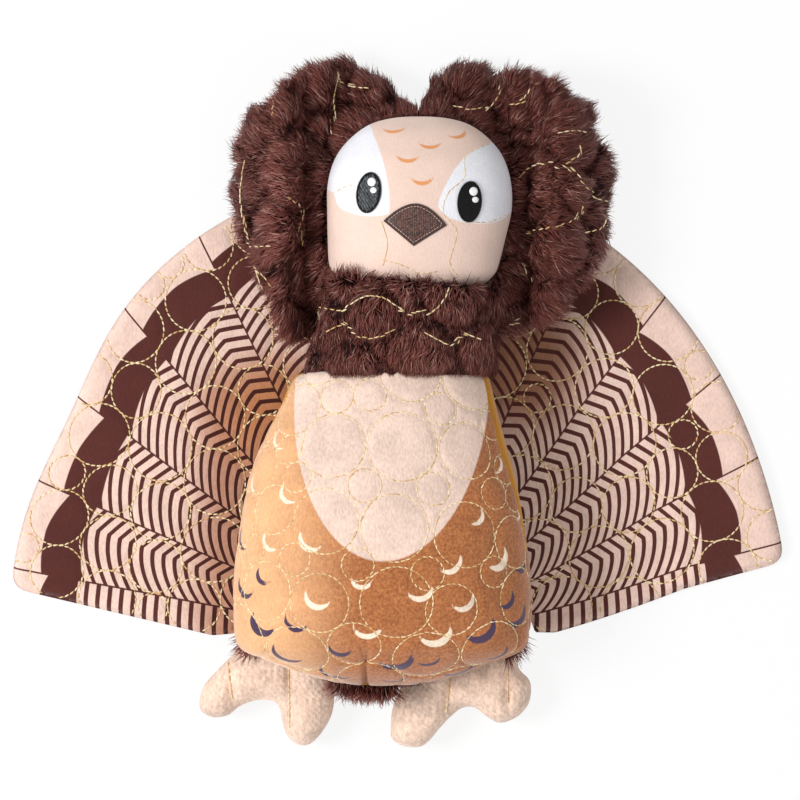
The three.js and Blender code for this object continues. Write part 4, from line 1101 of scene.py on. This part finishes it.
# The corners of each foot, and its two sewn lines between the toes, at x, y.
FOOT_OUTLINES = {
    "left": [(-33, -88.5), (-59, -88.5), (-65, -98.5), (-71.5, -105.4), (-77.4, -112), (-79.6, -118.3),
             (-78.8, -122.7), (-74.2, -125.2), (-68.3, -124.3), (-63.5, -120.7), (-57, -118.4),
             (-50.6, -118.8), (-47.8, -121.5), (-46.6, -127.4), (-44.7, -132.6), (-40.1, -136.2),
             (-34.9, -135.2), (-29.6, -129), (-26.6, -121.9), (-26.4, -112), (-29.5, -98)],
    "right": [(46.5, -88.5), (5, -88.5), (3, -98), (0.5, -112), (-2.8, -121), (-3.6, -128.2),
              (-3.2, -133.6), (1.2, -136.6), (7.4, -137), (11.2, -134.8), (15.5, -129.8), (20, -125),
              (24.8, -121.4), (29.8, -121.4), (34.6, -125), (39.6, -127.4), (45.8, -125.4),
              (50.4, -121), (52, -115.4), (51.2, -110.2), (46.6, -104)],
}
FOOT_SEAMS = {"left": [((-43.8, -104), (-43.8, -130)), ((-68, -104), (-66, -119))],
              "right": [((20, -108), (18, -124)), ((42.4, -106), (42.6, -120))]}


def rounded(outline, spacing):
    """A smooth closed line through a few corners, with points at an even spacing."""
    ring = np.array(outline[-2:] + outline + outline[:3], float)
    shares = np.linspace(2, len(outline) + 2, 16 * len(outline), endpoint=False) / (len(ring) - 1)
    return finely(along(ring, shares), spacing)


def wool(points, size):
    """Uneven heights for curled pile, from a few crossing waves."""
    x, y = points[:, 0] / size, points[:, 1] / size
    return (np.sin(2.1 * x + 1.3 * np.sin(1.7 * y)) * np.sin(1.9 * y + 1.1 * np.sin(2.3 * x))
            + 0.5 * np.sin(4.7 * x - 3.1 * y + np.sin(3.3 * x)) * np.sin(4.1 * y + 2.9 * x)) / 1.5


def segment_distance(points, start, end):
    start, edge = np.array(start, float), np.subtract(end, start).astype(float)
    share = np.clip((points - start) @ edge / (edge @ edge), 0, 1)
    return np.linalg.norm(points - start - share[:, None] * edge, axis=1)


def shrunk(outline, distance):
    """An outline moved inwards by a distance."""
    outline = finely(outline, 0.5)
    before, after = np.roll(outline, 1, axis=0), np.roll(outline, -1, axis=0)
    run = unit(after - before)
    area = np.sum(outline[:, 0] * after[:, 1] - after[:, 0] * outline[:, 1])
    inward = np.stack([-run[:, 1], run[:, 0]], axis=1) * math.copysign(1, area)
    moved = outline + inward * distance
    return moved[inside_distance(moved, outline) > distance * 0.9]


for side, corners in FOOT_OUTLINES.items():
    outline = rounded(corners, 0.8)

    def swell(points, outline=outline, side=side, inset=0.0):
        """Half the thickness of a foot at each point, drawn in along its two sewn lines."""
        depth = np.clip((inside_distance(points, outline) - inset) / (FOOT_ROUND - inset), 0, 1)
        half = (FOOT_HALF - inset) * np.sqrt(1 - (1 - depth) ** 2)
        for start, end in FOOT_SEAMS[side]:
            half = half - 2.2 * np.exp(-(segment_distance(points, start, end) / 2.0) ** 2) * depth
        return np.maximum(half, 0)

    def curled(points):
        """Height of the front of a foot, with the curls of its fleece."""
        half = swell(points)
        return FOOT_MIDDLE + half + CURL_RISE * wool(points, CURL_SIZE) * np.minimum(half, 1)

    def stuffed(way):
        return lambda points: FOOT_MIDDLE + way * np.maximum(swell(points, inset=FIBRE_INSET), 0.4)

    foot = pad_piece(f"foot_{side}_fleece", outline, curled,
                     lambda points: FOOT_MIDDLE - swell(points), fleece, spacing=0.62)
    filling = pad_piece(f"foot_{side}_fibre", finely(shrunk(outline, FIBRE_INSET), 2.0),
                        stuffed(1), stuffed(-1), polyester, spacing=2.0)
    seams = []
    for start, end in FOOT_SEAMS[side]:
        count = int(math.dist(start, end) / STITCH_PITCH)
        way = np.subtract(end, start)
        for i in range(count):
            spot = np.array(start) + way * i / count
            height = FOOT_MIDDLE + swell(spot[None])[0] + 0.3
            seams.append(((*spot, height), Vector((*way, 0)).normalized(), (0, 0, 1)))
    seam = sew(f"foot_{side}_sewing", seams, gold_thread, STITCH_LENGTH, THREAD_WIDTH)
    belongs(foot, f"foot_{side}", "pale_fleece", f"foot_{side}_cover", fill=0.8)
    belongs(filling, f"foot_{side}", "polyester_filling", f"foot_{side}_filling", fill=0.8)
    belongs(seam, f"foot_{side}", "pale_fleece")

# Head: a pale plush face with printed white eye patches and small orange feather marks, and brown
# fur behind, sewn together round the sides and stuffed tight.
HEAD_TOP, HEAD_WIDE, HEAD_DEEP, HEAD_X = 77, 72, 53.8, 7.6
# Up the head: the place, width, back and front, as shares of its length, width and depth.
HEAD_SHARES = [
    (0.24, 0.925, 0.043, 0.963), (0.37, 0.967, 0.002, 0.981), (0.5, 1, 0, 1), (0.62, 1, 0, 0.991),
    (0.73, 0.95, 0.015, 0.944), (0.82, 0.85, 0.061, 0.87), (0.9, 0.68, 0.136, 0.786),
    (0.95, 0.5, 0.247, 0.665), (0.976, 0.27, 0.34, 0.57), (0.984, 0.01, 0.44, 0.46),
]
head_stations = [(42, 4.2, 22, NECK_Z - 19, NECK_Z + 19), (46, 4.8, 28, NECK_Z - 20.5, NECK_Z + 20.5),
                 (50, 5.4, 31.5, NECK_Z - 21.5, NECK_Z + 21.5)]
head_stations += [
    (36 + y * HEAD_TOP, min(HEAD_X, 3 + 4.6 * (6 + y * HEAD_TOP) / 45), wide * HEAD_WIDE / 2,
     REST + back * HEAD_DEEP, REST + front * HEAD_DEEP)
    for y, wide, back, front in HEAD_SHARES
]
FACE_SEAM = 15
FACE_ROWS, FACE_COLUMNS, FACE_DIP = 130, 150, 1.3
face = form_grid(head_stations, -FACE_SEAM, 180 + FACE_SEAM, FACE_ROWS, FACE_COLUMNS)
outward = grid_normals(face, row_middles(head_stations, FACE_ROWS))
face_dip = FACE_DIP * np.exp(-(from_edge(FACE_COLUMNS, 0.9) / 2.0) ** 2)
face = face - outward * face_dip[None, :, None]
face_tree = grid_tree(face)
points = face.reshape(-1, 3)

# The corners of the white patches, which run out past the side seams of the face.
EYE_PATCHES = [
    [(-26, 103.5), (-13.4, 108.5), (-9.8, 102.4), (-6.6, 93), (-5, 86), (-4, 78.8), (-4.2, 73.4),
     (-5.4, 71.9), (-13.1, 71.5), (-19.2, 73), (-23.8, 75.7), (-27.3, 82.2), (-40, 84), (-36, 102)],
    [(34, 100.2), (27.7, 96.8), (21.8, 90.6), (17.6, 83.4), (14.8, 76.6), (15.8, 73.2), (19.6, 70.6),
     (25.6, 69), (34.6, 69), (40, 71), (43.4, 74), (52, 78), (50, 101), (40, 103)],
]
eye_white = np.full(len(points), 9.0)
for patch in EYE_PATCHES:
    eye_white = np.minimum(eye_white, -inside_distance(points[:, :2], rounded(patch, 0.8)))
BROW_MARKS = [(-1.9, 107, 4.8, 1.6, -2), (11.5, 101.5, 4.8, 1.6, -2), (21, 105.4, 4.8, 1.6, -20),
              (3.1, 96.2, 4.8, 1.6, 0), (8.5, 87.8, 4.8, 1.6, -4)]


def face_print(tree, place):
    colour = paint_over(tree, field_mask(tree, "marks", 0.35), linear("edd0c1"), linear("e39a63"))
    return paint_over(tree, field_mask(tree, "eye_white"), colour, linear("f0f0f6"))


# The pile of the face is the smoothest of the toy, and shows the least mottling.
face_cloth = plush("pale_face_plush", face_print, nap=0.1)
marks = crescents(points, face_tree, BROW_MARKS, hollow=1.28)
shell, faces = closed_sheet(face, face - outward * CLOTH)
face_piece = make_piece("face_cloth", shell, faces, face_cloth, {
    "eye_white": both_sides(eye_white), "marks": both_sides(marks)})
belongs(face_piece, "head", "pale_plush", "face_panel", fill=0.9)

# The quilting of the toy runs on over the face in a few thin lines.
FACE_LINES = [
    [(36, 101), (25.2, 94.6), (24.7, 86.5), (18.4, 80), (16.7, 72.5), (21.7, 65.5), (19.2, 53.5),
     (23, 48)],
    [(25.2, 69.5), (34.3, 69.5), (42.4, 73.5)], [(-6.8, 68.5), (-4.8, 60.5), (-6.8, 51.5)],
    [(-25.6, 81), (-20, 83.4), (-14.8, 82.5)], [(-6, 54.5), (1.2, 52.5), (8.2, 49.5), (15.2, 50.5)],
]
face_thread = sew("face_quilting", line_stitches(face_tree, FACE_LINES, STITCH_PITCH), gold_thread,
                  STITCH_LENGTH, width=0.42, lift=0.05)
belongs(face_thread, "head", "pale_plush")

back = form_grid(head_stations, 180 + FACE_SEAM, 360 - FACE_SEAM, BACK_ROWS, BACK_COLUMNS)
outward = grid_normals(back, row_middles(head_stations, BACK_ROWS))
away = unit(back - np.array([HEAD_X, 60, 40]))
away[..., 2] *= 0.3
flank = np.exp(-(from_edge(BACK_COLUMNS) / 8.0) ** 2)[None, :]
cover_share = np.broadcast_to(0.3 + 0.7 * flank, back.shape[:2])
head_back = fur_fabric("head_back_fur", back, back - outward * CLOTH, unit(away), cover_share,
                       np.full(back.shape[:2], 0.5), strands=2.2, length=8, width=0.8, lay=1.4,
                       clumping=1.6, clump_size=5, seed=6)
belongs(head_back, "head", "brown_fur", "head_back_panel", fill=0.9)

head_fibre = lump("head_fibre", head_stations, inset=4.0)
belongs(head_fibre, "head", "polyester_filling", "head_filling", fill=0.8)

# Embroidery of the face: pupils, glints and beak, each a filled shape of close parallel stitches
# inside a border of satin stitch, worked through the face cloth. The thread is rayon, brighter than
# the polyester of the quilting, so each patch shines along its rows.
PUPIL_HALF, PUPIL_TALL = 4.6, 7.8
GROUND_LOW, GROUND_HIGH, SATIN_STEP = -0.1, 0.6, 0.36
# The left pupil's fill is black thread painted grey: a painted sheen of light along its rows. The right
# one is plain black.
painted_sheen_thread = thread_material("black_rayon_thread_painted_sheen", "2e3134", "6f7478", gloss=0.38)
black_thread = thread_material("black_rayon_thread", "08080a", "121215", gloss=0.5, shine=0.15)
white_thread = thread_material("white_rayon_thread", "f2f2f4", "ffffff", gloss=0.4)
brown_thread = thread_material("brown_rayon_thread", "3c231f", "8a5f52", gloss=0.42)
umber_thread = thread_material("dark_brown_rayon_thread", "2e1917", "4c2c28", gloss=0.4)
tan_thread = thread_material("tan_rayon_thread", "b88a78", "d9ad9a", gloss=0.4)


def turned_shape(outline, place, degrees):
    turn = math.radians(degrees)
    matrix = np.array([[math.cos(turn), math.sin(turn)], [-math.sin(turn), math.cos(turn)]])
    return np.asarray(outline, float) @ matrix + np.asarray(place, float)


def oval(half, tall, steps=40):
    turn = np.linspace(0, 2 * math.pi, steps, endpoint=False)
    return np.stack([half * np.cos(turn), tall * np.sin(turn)], axis=1)


def over_face(points, lift):
    """Places on the face above points of the plan, lifted along the way out of the cloth."""
    hits = [from_front(face_tree, x, y) for x, y in points]
    return [(place + lift * out, out) for place, out in hits]


def stitched_patch(name, outline, low, high, material):
    """The thick ground of an embroidered shape: a thin closed patch that follows the face."""
    points, faces = flat_mesh(finely(outline, 0.5), 0.6)
    upper, lower = ([tuple(spot) for spot, _ in over_face(points, lift)] for lift in (high, low))
    return make_piece(name, upper + lower, faces, material)


def fill_rows(outline, degrees, row, step, lift, seed):
    """Parallel rows of running stitches inside a shape, each row set off from the one before."""
    outline = np.asarray(outline, float)
    middle = outline.mean(axis=0)
    reach = np.linalg.norm(outline - middle, axis=1).max()
    chance = np.random.default_rng(seed)
    rows = np.arange(-reach, reach, row)
    spots = []
    for i, across in enumerate(rows):
        places = np.arange(-reach, reach, step) + (i % 3) * step / 3
        spots += [(place + chance.normal(0, step * 0.08), across) for place in places]
    plan = turned_shape(np.array(spots), middle, degrees)
    plan = plan[inside_distance(plan, outline) > 0.25]
    turn = math.radians(degrees)
    run = Vector((math.cos(turn), math.sin(turn), 0))
    return [(spot, (run - out * run.dot(out)).normalized(), out) for spot, out in over_face(plan, lift)]


def border_rows(outline, step, lift, across=True):
    """Satin stitches side by side along an outline, across it or along it."""
    ring = finely(outline, step)
    before, after = np.roll(ring, 1, axis=0), np.roll(ring, -1, axis=0)
    stitches = []
    for (spot, out), a, b in zip(over_face(ring, lift), before, after):
        run = Vector((b[0] - a[0], b[1] - a[1], 0)).normalized()
        run = (run - out * run.dot(out)).normalized()
        stitches.append((spot, run.cross(out) if across else run, out))
    return stitches


# The left pupil is filled with the thread painted grey for sheen, the right with plain black.
for side, place, degrees, fill_thread in (("left", (-11.9, 80.5), -8, painted_sheen_thread),
                                          ("right", (26.6, 77), -5, black_thread)):
    shape = turned_shape(oval(PUPIL_HALF, PUPIL_TALL), place, degrees)
    ground = stitched_patch(f"pupil_{side}_ground", shape, GROUND_LOW, GROUND_HIGH, black_thread)
    rows = fill_rows(shrunk(shape, 0.6), 90 + degrees, row=0.42, step=1.5, lift=GROUND_HIGH, seed=4)
    fill = sew(f"pupil_{side}_fill", rows, fill_thread, length=1.75, width=0.5, lift=0)
    rows = border_rows(shrunk(shape, 0.3), SATIN_STEP, GROUND_HIGH)
    border = sew(f"pupil_{side}_border", rows, black_thread, length=1.25, width=0.42, lift=0)
    for piece in (ground, fill, border):
        belongs(piece, "head", "black_thread", f"pupil_{side}")
    for size, half, tall, offset in (("large", 1.55, 1.65, (1.3, 3.9)), ("small", 1.2, 1.15, (2.0, 0.8))):
        spot = turned_shape(oval(half, tall, 20), (place[0] + offset[0], place[1] + offset[1]), 0)
        base = stitched_patch(f"glint_{side}_{size}_ground", spot, 0.7, 1.1, white_thread)
        rows = fill_rows(shrunk(spot, 0.2), 0, row=0.3, step=0.8, lift=1.1, seed=5)
        glint = sew(f"glint_{side}_{size}_satin", rows, white_thread, length=1.1, width=0.36, lift=0)
        for piece in (base, glint):
            belongs(piece, "head", "white_thread", f"glint_{side}_{size}")

turn = np.linspace(0, 1, 12)[:, None]
beak_left = (1 - turn) ** 2 * np.array([-12.1, 0]) + 2 * turn * (1 - turn) * np.array([-5.6, 7.2])
beak_left = beak_left + turn ** 2 * np.array([0, 7.4])
beak_right = beak_left[::-1] * np.array([-1, 1])
beak_shape = np.concatenate([[[0, -8.9]], beak_left, beak_right[1:]])
beak_shape = turned_shape(beak_shape, (5.8, 68.8), -4)
ground = stitched_patch("beak_ground", beak_shape, GROUND_LOW, GROUND_HIGH, umber_thread)
rows = fill_rows(shrunk(beak_shape, 1.5), 40, row=0.45, step=1.1, lift=GROUND_HIGH, seed=9)
fill = sew("beak_fill", rows, brown_thread, length=1.2, width=0.5, lift=0)
rows = border_rows(shrunk(beak_shape, 1.15), 1.2, 0.65, across=False)
line = sew("beak_line", rows, tan_thread, length=1.25, width=0.42, lift=0)
rows = border_rows(shrunk(beak_shape, 0.45), SATIN_STEP, GROUND_HIGH)
border = sew("beak_border", rows, umber_thread, length=1.1, width=0.42, lift=0)
for piece in (ground, fill, line, border):
    belongs(piece, "head", "brown_thread", "beak")

# Neck band: a ring of the long fur round the neck joint, quilted in gold thread like the rest. It
# is sewn to the body at one end and the head at the other, so it gives when the head nods.
BAND_STATIONS = [
    (10.5, 0, 36.4, NECK_Z - 25.5, NECK_Z + 26), (16, 0.6, 36, NECK_Z - 26.5, NECK_Z + 27.5),
    (28, 3, 34.2, NECK_Z - 26.5, NECK_Z + 28), (38, 4.4, 33.4, NECK_Z - 26.5, NECK_Z + 27),
    (45, 5, 33, NECK_Z - 25.5, NECK_Z + 25.5), (49, 5.3, 32.9, NECK_Z - 24.5, NECK_Z + 23.6),
]
BAND_WALL, BAND_ROWS, BAND_COLUMNS = 2.0, 44, 190
band = form_grid(BAND_STATIONS, 0, 360 * (BAND_COLUMNS - 1) / BAND_COLUMNS, BAND_ROWS, BAND_COLUMNS)
# Its upper edge slopes down towards the right.
band[..., 1] -= 0.075 * (band[..., 0] + 30) * np.clip((band[..., 1] - 26) / 22, 0, 1)
band_out = unit(band - row_middles(BAND_STATIONS, BAND_ROWS))
spots = band[4:-4:2, ::3].reshape(-1, 3)
band_circles = pack_circles(spots[spots[:, 2] > NECK_Z - 5], small=7.5, large=13, seed=21)
band = quilted(band, band_out, band_circles, dip=2.2, width=2.8, puff=0.8)
band_tree = grid_tree(band)
near_line = np.exp(-(line_distance(band.reshape(-1, 3), band_circles) / 2.0) ** 2)
down = combed(np.zeros_like(band) + np.array([-0.25, -1.0, 0.0]), band_out)
toward_head = np.clip((band[..., 1:2] - 40) / 9, 0, 1)
comb = down * (1 - 1.5 * toward_head)
# The pile is worn short at both seams.
toward_seam = np.maximum(0.15 * toward_head, 0.65 * np.clip((19 - band[..., 1:2]) / 8, 0, 1)).ravel()
cover_share = np.where(band[..., 2] > 15, 1.0, 0.25)
neck_band = fur_fabric("neck_band_fur", band, band - band_out * BAND_WALL, comb, cover_share,
                       (1 - 0.5 * near_line) * (1 - toward_seam), strands=3.7, length=8, width=0.7,
                       lay=1.0, clumping=2.2, clump_size=5, seed=12, around=True)
# The quilting thread shows only where the pile parts, in a few long waves.
FUR_PITCH, FUR_THREAD = 1.8, 0.56
BAND_LINES = [
    [(-27.8, 35.6), (-20.8, 34.1), (-14.8, 38.1), (-10.8, 39.6), (-5.7, 38.6), (-1.7, 35.6), (4.3, 33.6),
     (11.3, 34.1), (16.3, 38.6), (18.4, 43.6)],
    [(-25.8, 27.6), (-20.8, 29.6), (-16.8, 27.6), (-10.8, 26), (-6.7, 27), (-1.7, 29)],
    [(9.8, 26), (14.3, 23.5), (18.4, 22), (22.4, 26), (30.4, 23.5)],
]
neck_thread = sew("neck_band_quilting", line_stitches(band_tree, BAND_LINES, FUR_PITCH), gold_thread,
                  STITCH_LENGTH, FUR_THREAD, lift=3.6)
for piece in (neck_band, neck_thread):
    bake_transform(piece)
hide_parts("neck_band")

# Fur ruff: a floppy lobe each side of the head and a strip behind its crown, each two layers of the
# long fur with thin batting, quilted in gold thread and sewn into the seam round the face.
RUFF_ROOT_Z = REST + 16.3
# Up each lobe: y, and the x of its root and of its edge.
RUFF_ROWS = {
    "left": [(27, -33, -42.5), (31, -32.6, -45), (36, -32, -47.5), (41, -31.4, -49.5),
             (47, -30, -51.5), (54, -28.4, -55), (63, -28, -59), (73, -28, -62.5), (80, -28, -63.5),
             (88, -28, -62), (94, -28, -61), (100, -28, -62.5), (106, -28, -58.5), (111, -28, -57),
             (116, -28, -52.5), (120.5, -28, -48), (124, -28, -43), (127, -28, -38), (129.5, -28.3, -33)],
    "right": [(29, 38.5, 46), (33, 38.5, 54), (37, 37.5, 60), (41, 36.4, 64), (47, 36.4, 69.5),
              (54, 37.4, 74), (63, 39, 77.5), (73, 41, 79.5), (84, 42.4, 80.5), (94, 42.8, 80.5),
              (100, 42.8, 79), (105.5, 42.8, 72), (111, 42.8, 74.5), (116, 42.8, 72), (120, 42.8, 67),
              (123.5, 42.8, 60), (126, 42.8, 53), (128, 42.8, 47)],
}
RUFF_HINGE_X = {"left": -34.679, "right": 49.879}
RUFF_VALLEY = {"left": 0.04, "right": -0.05}
RUFF_REACH = {"left": 27, "right": 29}
RUFF_HALF, RUFF_RIM = 3.4, 0.8
RUFF_RISE, RUFF_FALL, RUFF_WAVE, WAVE_LENGTH = 15, 11, 2.6, 27


def ruff_form(side, rows, columns):
    """Top and underside of a lobe: it rises from its root to a ridge, then falls to a wavy edge."""
    y, root, edge = along(RUFF_ROWS[side], np.linspace(0, 1, rows)).T[:, :, None]
    sign = -1 if side == "left" else 1
    share = np.linspace(0, 1, columns)[None, :]
    share = share + 0.06 * np.sin(2 * np.pi * share)
    x = root + (edge - root) * share
    out = np.clip(sign * (x - RUFF_HINGE_X[side]) / RUFF_REACH[side], 0, 1.1)
    waves = np.sin(2 * np.pi * (y - 27) / WAVE_LENGTH + 0.9 * np.sin(out * 3))
    climb = np.clip((out - RUFF_VALLEY[side]) / 0.4, 0, 1)
    climb = climb * climb * (3 - 2 * climb)
    fall = RUFF_FALL * np.clip(out - 0.45, 0, 1) ** 1.5 / 0.55 ** 1.5 * 1.1
    middle = RUFF_ROOT_Z - 2 + RUFF_RISE * climb - fall + RUFF_WAVE * out * waves
    inner, outer = share, 1 - share
    near_end = np.minimum((y - 25.5) / 9, (y.max() + 1 - y) / 9)
    near_edge = np.clip(np.minimum(np.minimum(inner * 3.5, outer * 2.6), near_end), 0, 1)
    half = RUFF_RIM + (RUFF_HALF - RUFF_RIM) * np.sqrt(np.clip(1 - (1 - near_edge) ** 2, 0, 1))
    x, y, middle, half = np.broadcast_arrays(x, y, middle, half)
    return (np.stack([x, y, middle + half], axis=-1), np.stack([x, y, middle - half], axis=-1))


def upward(grid):
    """Directions out of an open grid of points, on the side that faces up."""
    normals = unit(np.cross(np.gradient(grid, axis=0), np.gradient(grid, axis=1)))
    return normals * np.where(normals[..., 2:] < 0, -1, 1)


def ruff_pieces(name, top, under, circles, lines, comb_from, body, seed):
    """Front fur, batting and back fur of one part of the ruff, with its quilting."""
    up, down = upward(top), -upward(under)
    front = quilted(top, up, circles, dip=2.4, width=3.0, puff=1.0)
    behind = quilted(under, down, circles, dip=0.8, width=2.6, puff=0.2)
    thick = np.sum((front - behind) * up, axis=-1, keepdims=True)
    behind = behind + down * np.maximum(0, 1.2 - thick)
    skin, outward = grid_tree(front), up[:-1, :-1].reshape(-1, 3)

    def beneath(grid, depth):
        """A layer moved down wherever it lies less than a depth under the front."""
        lowered = grid.reshape(-1, 3).copy()
        for row, point in enumerate(lowered):
            place, _, face, _ = skin.find_nearest(Vector(point))
            way = outward[face]
            lowered[row] = point - way * max(0, depth - np.dot(np.array(place) - point, way))
        return lowered.reshape(grid.shape)

    behind = beneath(behind, 0.9)
    rows, columns = top.shape[:2]
    row, column = np.indices((rows, columns))
    from_rim = np.minimum(np.minimum(row, rows - 1 - row), np.minimum(column, columns - 1 - column))
    opened = 0.05 + 0.3 * np.clip(from_rim / 3, 0, 1)[..., None]
    middle = (front + behind) / 2
    near_line = np.exp(-(line_distance(front.reshape(-1, 3), circles) / 2.0) ** 2)
    for part, outer, way, strands, length, depth, worn in (
        ("front", front, up, 4.7, 9.0, 0.2, 0.5), ("back", behind, down, 2.0, 7.5, 0.65, 0.2),
    ):
        inner = beneath(middle + (outer - middle) * opened, depth)
        comb = combed(unit(outer - np.array(comb_from)), way)
        fur = fur_fabric(f"{name}_{part}_fur", outer, inner, comb, np.ones((rows, columns)),
                         1 - worn * near_line, strands, length, width=0.7, lay=1.0, clumping=2.4,
                         clump_size=6, seed=seed + len(part))
        belongs(fur, body, "brown_fur", f"{name}_{part}", fill=0.6)
    inset = slice(4, -4)
    shell, faces = closed_sheet(beneath(middle + (front - middle) * 0.2, 0.35)[inset, inset],
                                beneath(middle + (behind - middle) * 0.2, 0.5)[inset, inset])
    batting = make_piece(f"{name}_wadding", shell, faces, polyester)
    belongs(batting, body, "polyester_filling", f"{name}_batting", fill=0.5)
    seam = sew(f"{name}_quilting", line_stitches(grid_tree(front), lines, FUR_PITCH), gold_thread,
               STITCH_LENGTH, FUR_THREAD, lift=3.8)
    belongs(seam, body, "brown_fur")


# Where the gold thread shows between the pile of each part.
RUFF_LINES = {
    "left": [
        [(-58.8, 92.2), (-59.6, 84.1), (-59.4, 75.9), (-58.8, 67.8), (-57, 62.6), (-53.8, 60.8),
         (-47.7, 60.4)],
        [(-54.9, 53.5), (-50.8, 49.4), (-47.7, 45.8)], [(-53, 51), (-50.4, 45)],
        [(-44.7, 81), (-41.6, 78), (-40.6, 72.9), (-41.6, 65.7), (-41.1, 60.6)],
        [(-50.8, 117.7), (-47.2, 114.7), (-48.6, 110)],
    ],
    "right": [
        [(45, 117), (47.1, 117.2), (51.7, 119.3), (53.8, 122.8)],
        [(62.4, 105.5), (67, 106.4), (71, 105.7)],
        [(50.2, 88.2), (54.3, 91.2), (60.4, 91.7), (65.5, 89.2), (69.6, 84.1), (74.7, 80.5), (80, 79.5)],
        [(64.5, 94.3), (68, 97.3), (67.5, 101.4)],
        [(50.2, 66.7), (58.4, 66.7), (64.5, 69.3), (68.6, 74.9), (69.1, 80)],
        [(72.7, 65.6), (76.8, 67.3), (78.4, 71.8)], [(43, 30.5), (49.2, 31), (52.2, 33.1)],
        [(50.2, 55.5), (52.8, 52.5), (54, 48)],
    ],
    "crown": [
        [(-24.3, 128), (-23.2, 125), (-17.1, 123.4), (-11, 122.3)],
        [(-24.3, 127), (-26.8, 116), (-26, 110), (-24.3, 104)],
        [(23.2, 114.5), (28.3, 113.4), (33.9, 114.7), (38, 119.8), (39.6, 124)],
    ],
}
LOBE_ROWS, LOBE_COLUMNS = 110, 34
for side, seed in (("left", 31), ("right", 32)):
    top, under = ruff_form(side, LOBE_ROWS, LOBE_COLUMNS)
    circles = pack_circles(top[4:-4:2, 3:-3:2].reshape(-1, 3), small=8, large=15, seed=seed)
    ruff_pieces(f"ruff_{side}", top, under, circles, RUFF_LINES[side], (HEAD_X, 82, 20),
                f"ruff_{side}", seed)

# The crown strip follows the top of the head and has a notch in the middle of its rim.
CROWN_TOP = [(-28, 131.5), (-24, 132.8), (-21, 133.8), (-15, 131.2), (-9, 127.2), (-3.5, 124.4),
             (1, 120.5), (5, 116.4), (8, 114.8), (10, 120), (12, 126), (16, 129.8), (24, 131.8),
             (32, 131.8), (36, 130.5), (39.5, 127.5), (43, 128.5)]
CROWN_ROWS, CROWN_COLUMNS = 96, 26
CROWN_Z = RUFF_ROOT_Z - 4
crown_x, crown_top = along(CROWN_TOP, np.linspace(0, 1, CROWN_ROWS)).T
head_round = grid_tree(form_grid(head_stations, 0, 360, 90, 120))
head_edge = []
for x in crown_x:
    place, _, _, _ = head_round.ray_cast(Vector((x, 160, CROWN_Z)), Vector((0, -1, 0)))
    head_edge.append(place.y + 0.6 if place else 86)
# The root follows the head, smoothed over five places.
head_edge = np.convolve(np.pad(head_edge, 2, mode="edge"), np.ones(5) / 5, mode="valid")
share = np.linspace(0, 1, CROWN_COLUMNS)[None, :]
crown_y = head_edge[:, None] + (crown_top - head_edge)[:, None] * share
crown_z = CROWN_Z - 7 * share ** 2 + 0 * crown_y
near_rim = np.clip(np.minimum((1 - share) * 2.6, 1.0), 0, 1)
half = RUFF_RIM + (RUFF_HALF - RUFF_RIM) * np.sqrt(1 - (1 - near_rim) ** 2)
crown_x, crown_y, crown_z, half = np.broadcast_arrays(crown_x[:, None], crown_y, crown_z, half)
top, under = (np.stack([crown_x, crown_y, crown_z + way * half], axis=-1) for way in (1, -1))
circles = pack_circles(top[6:-6:2, 3:-3:2].reshape(-1, 3), small=7, large=12, seed=33)
ruff_pieces("ruff_crown", top, under, circles, RUFF_LINES["crown"], (HEAD_X, 90, 20), "head", 33)
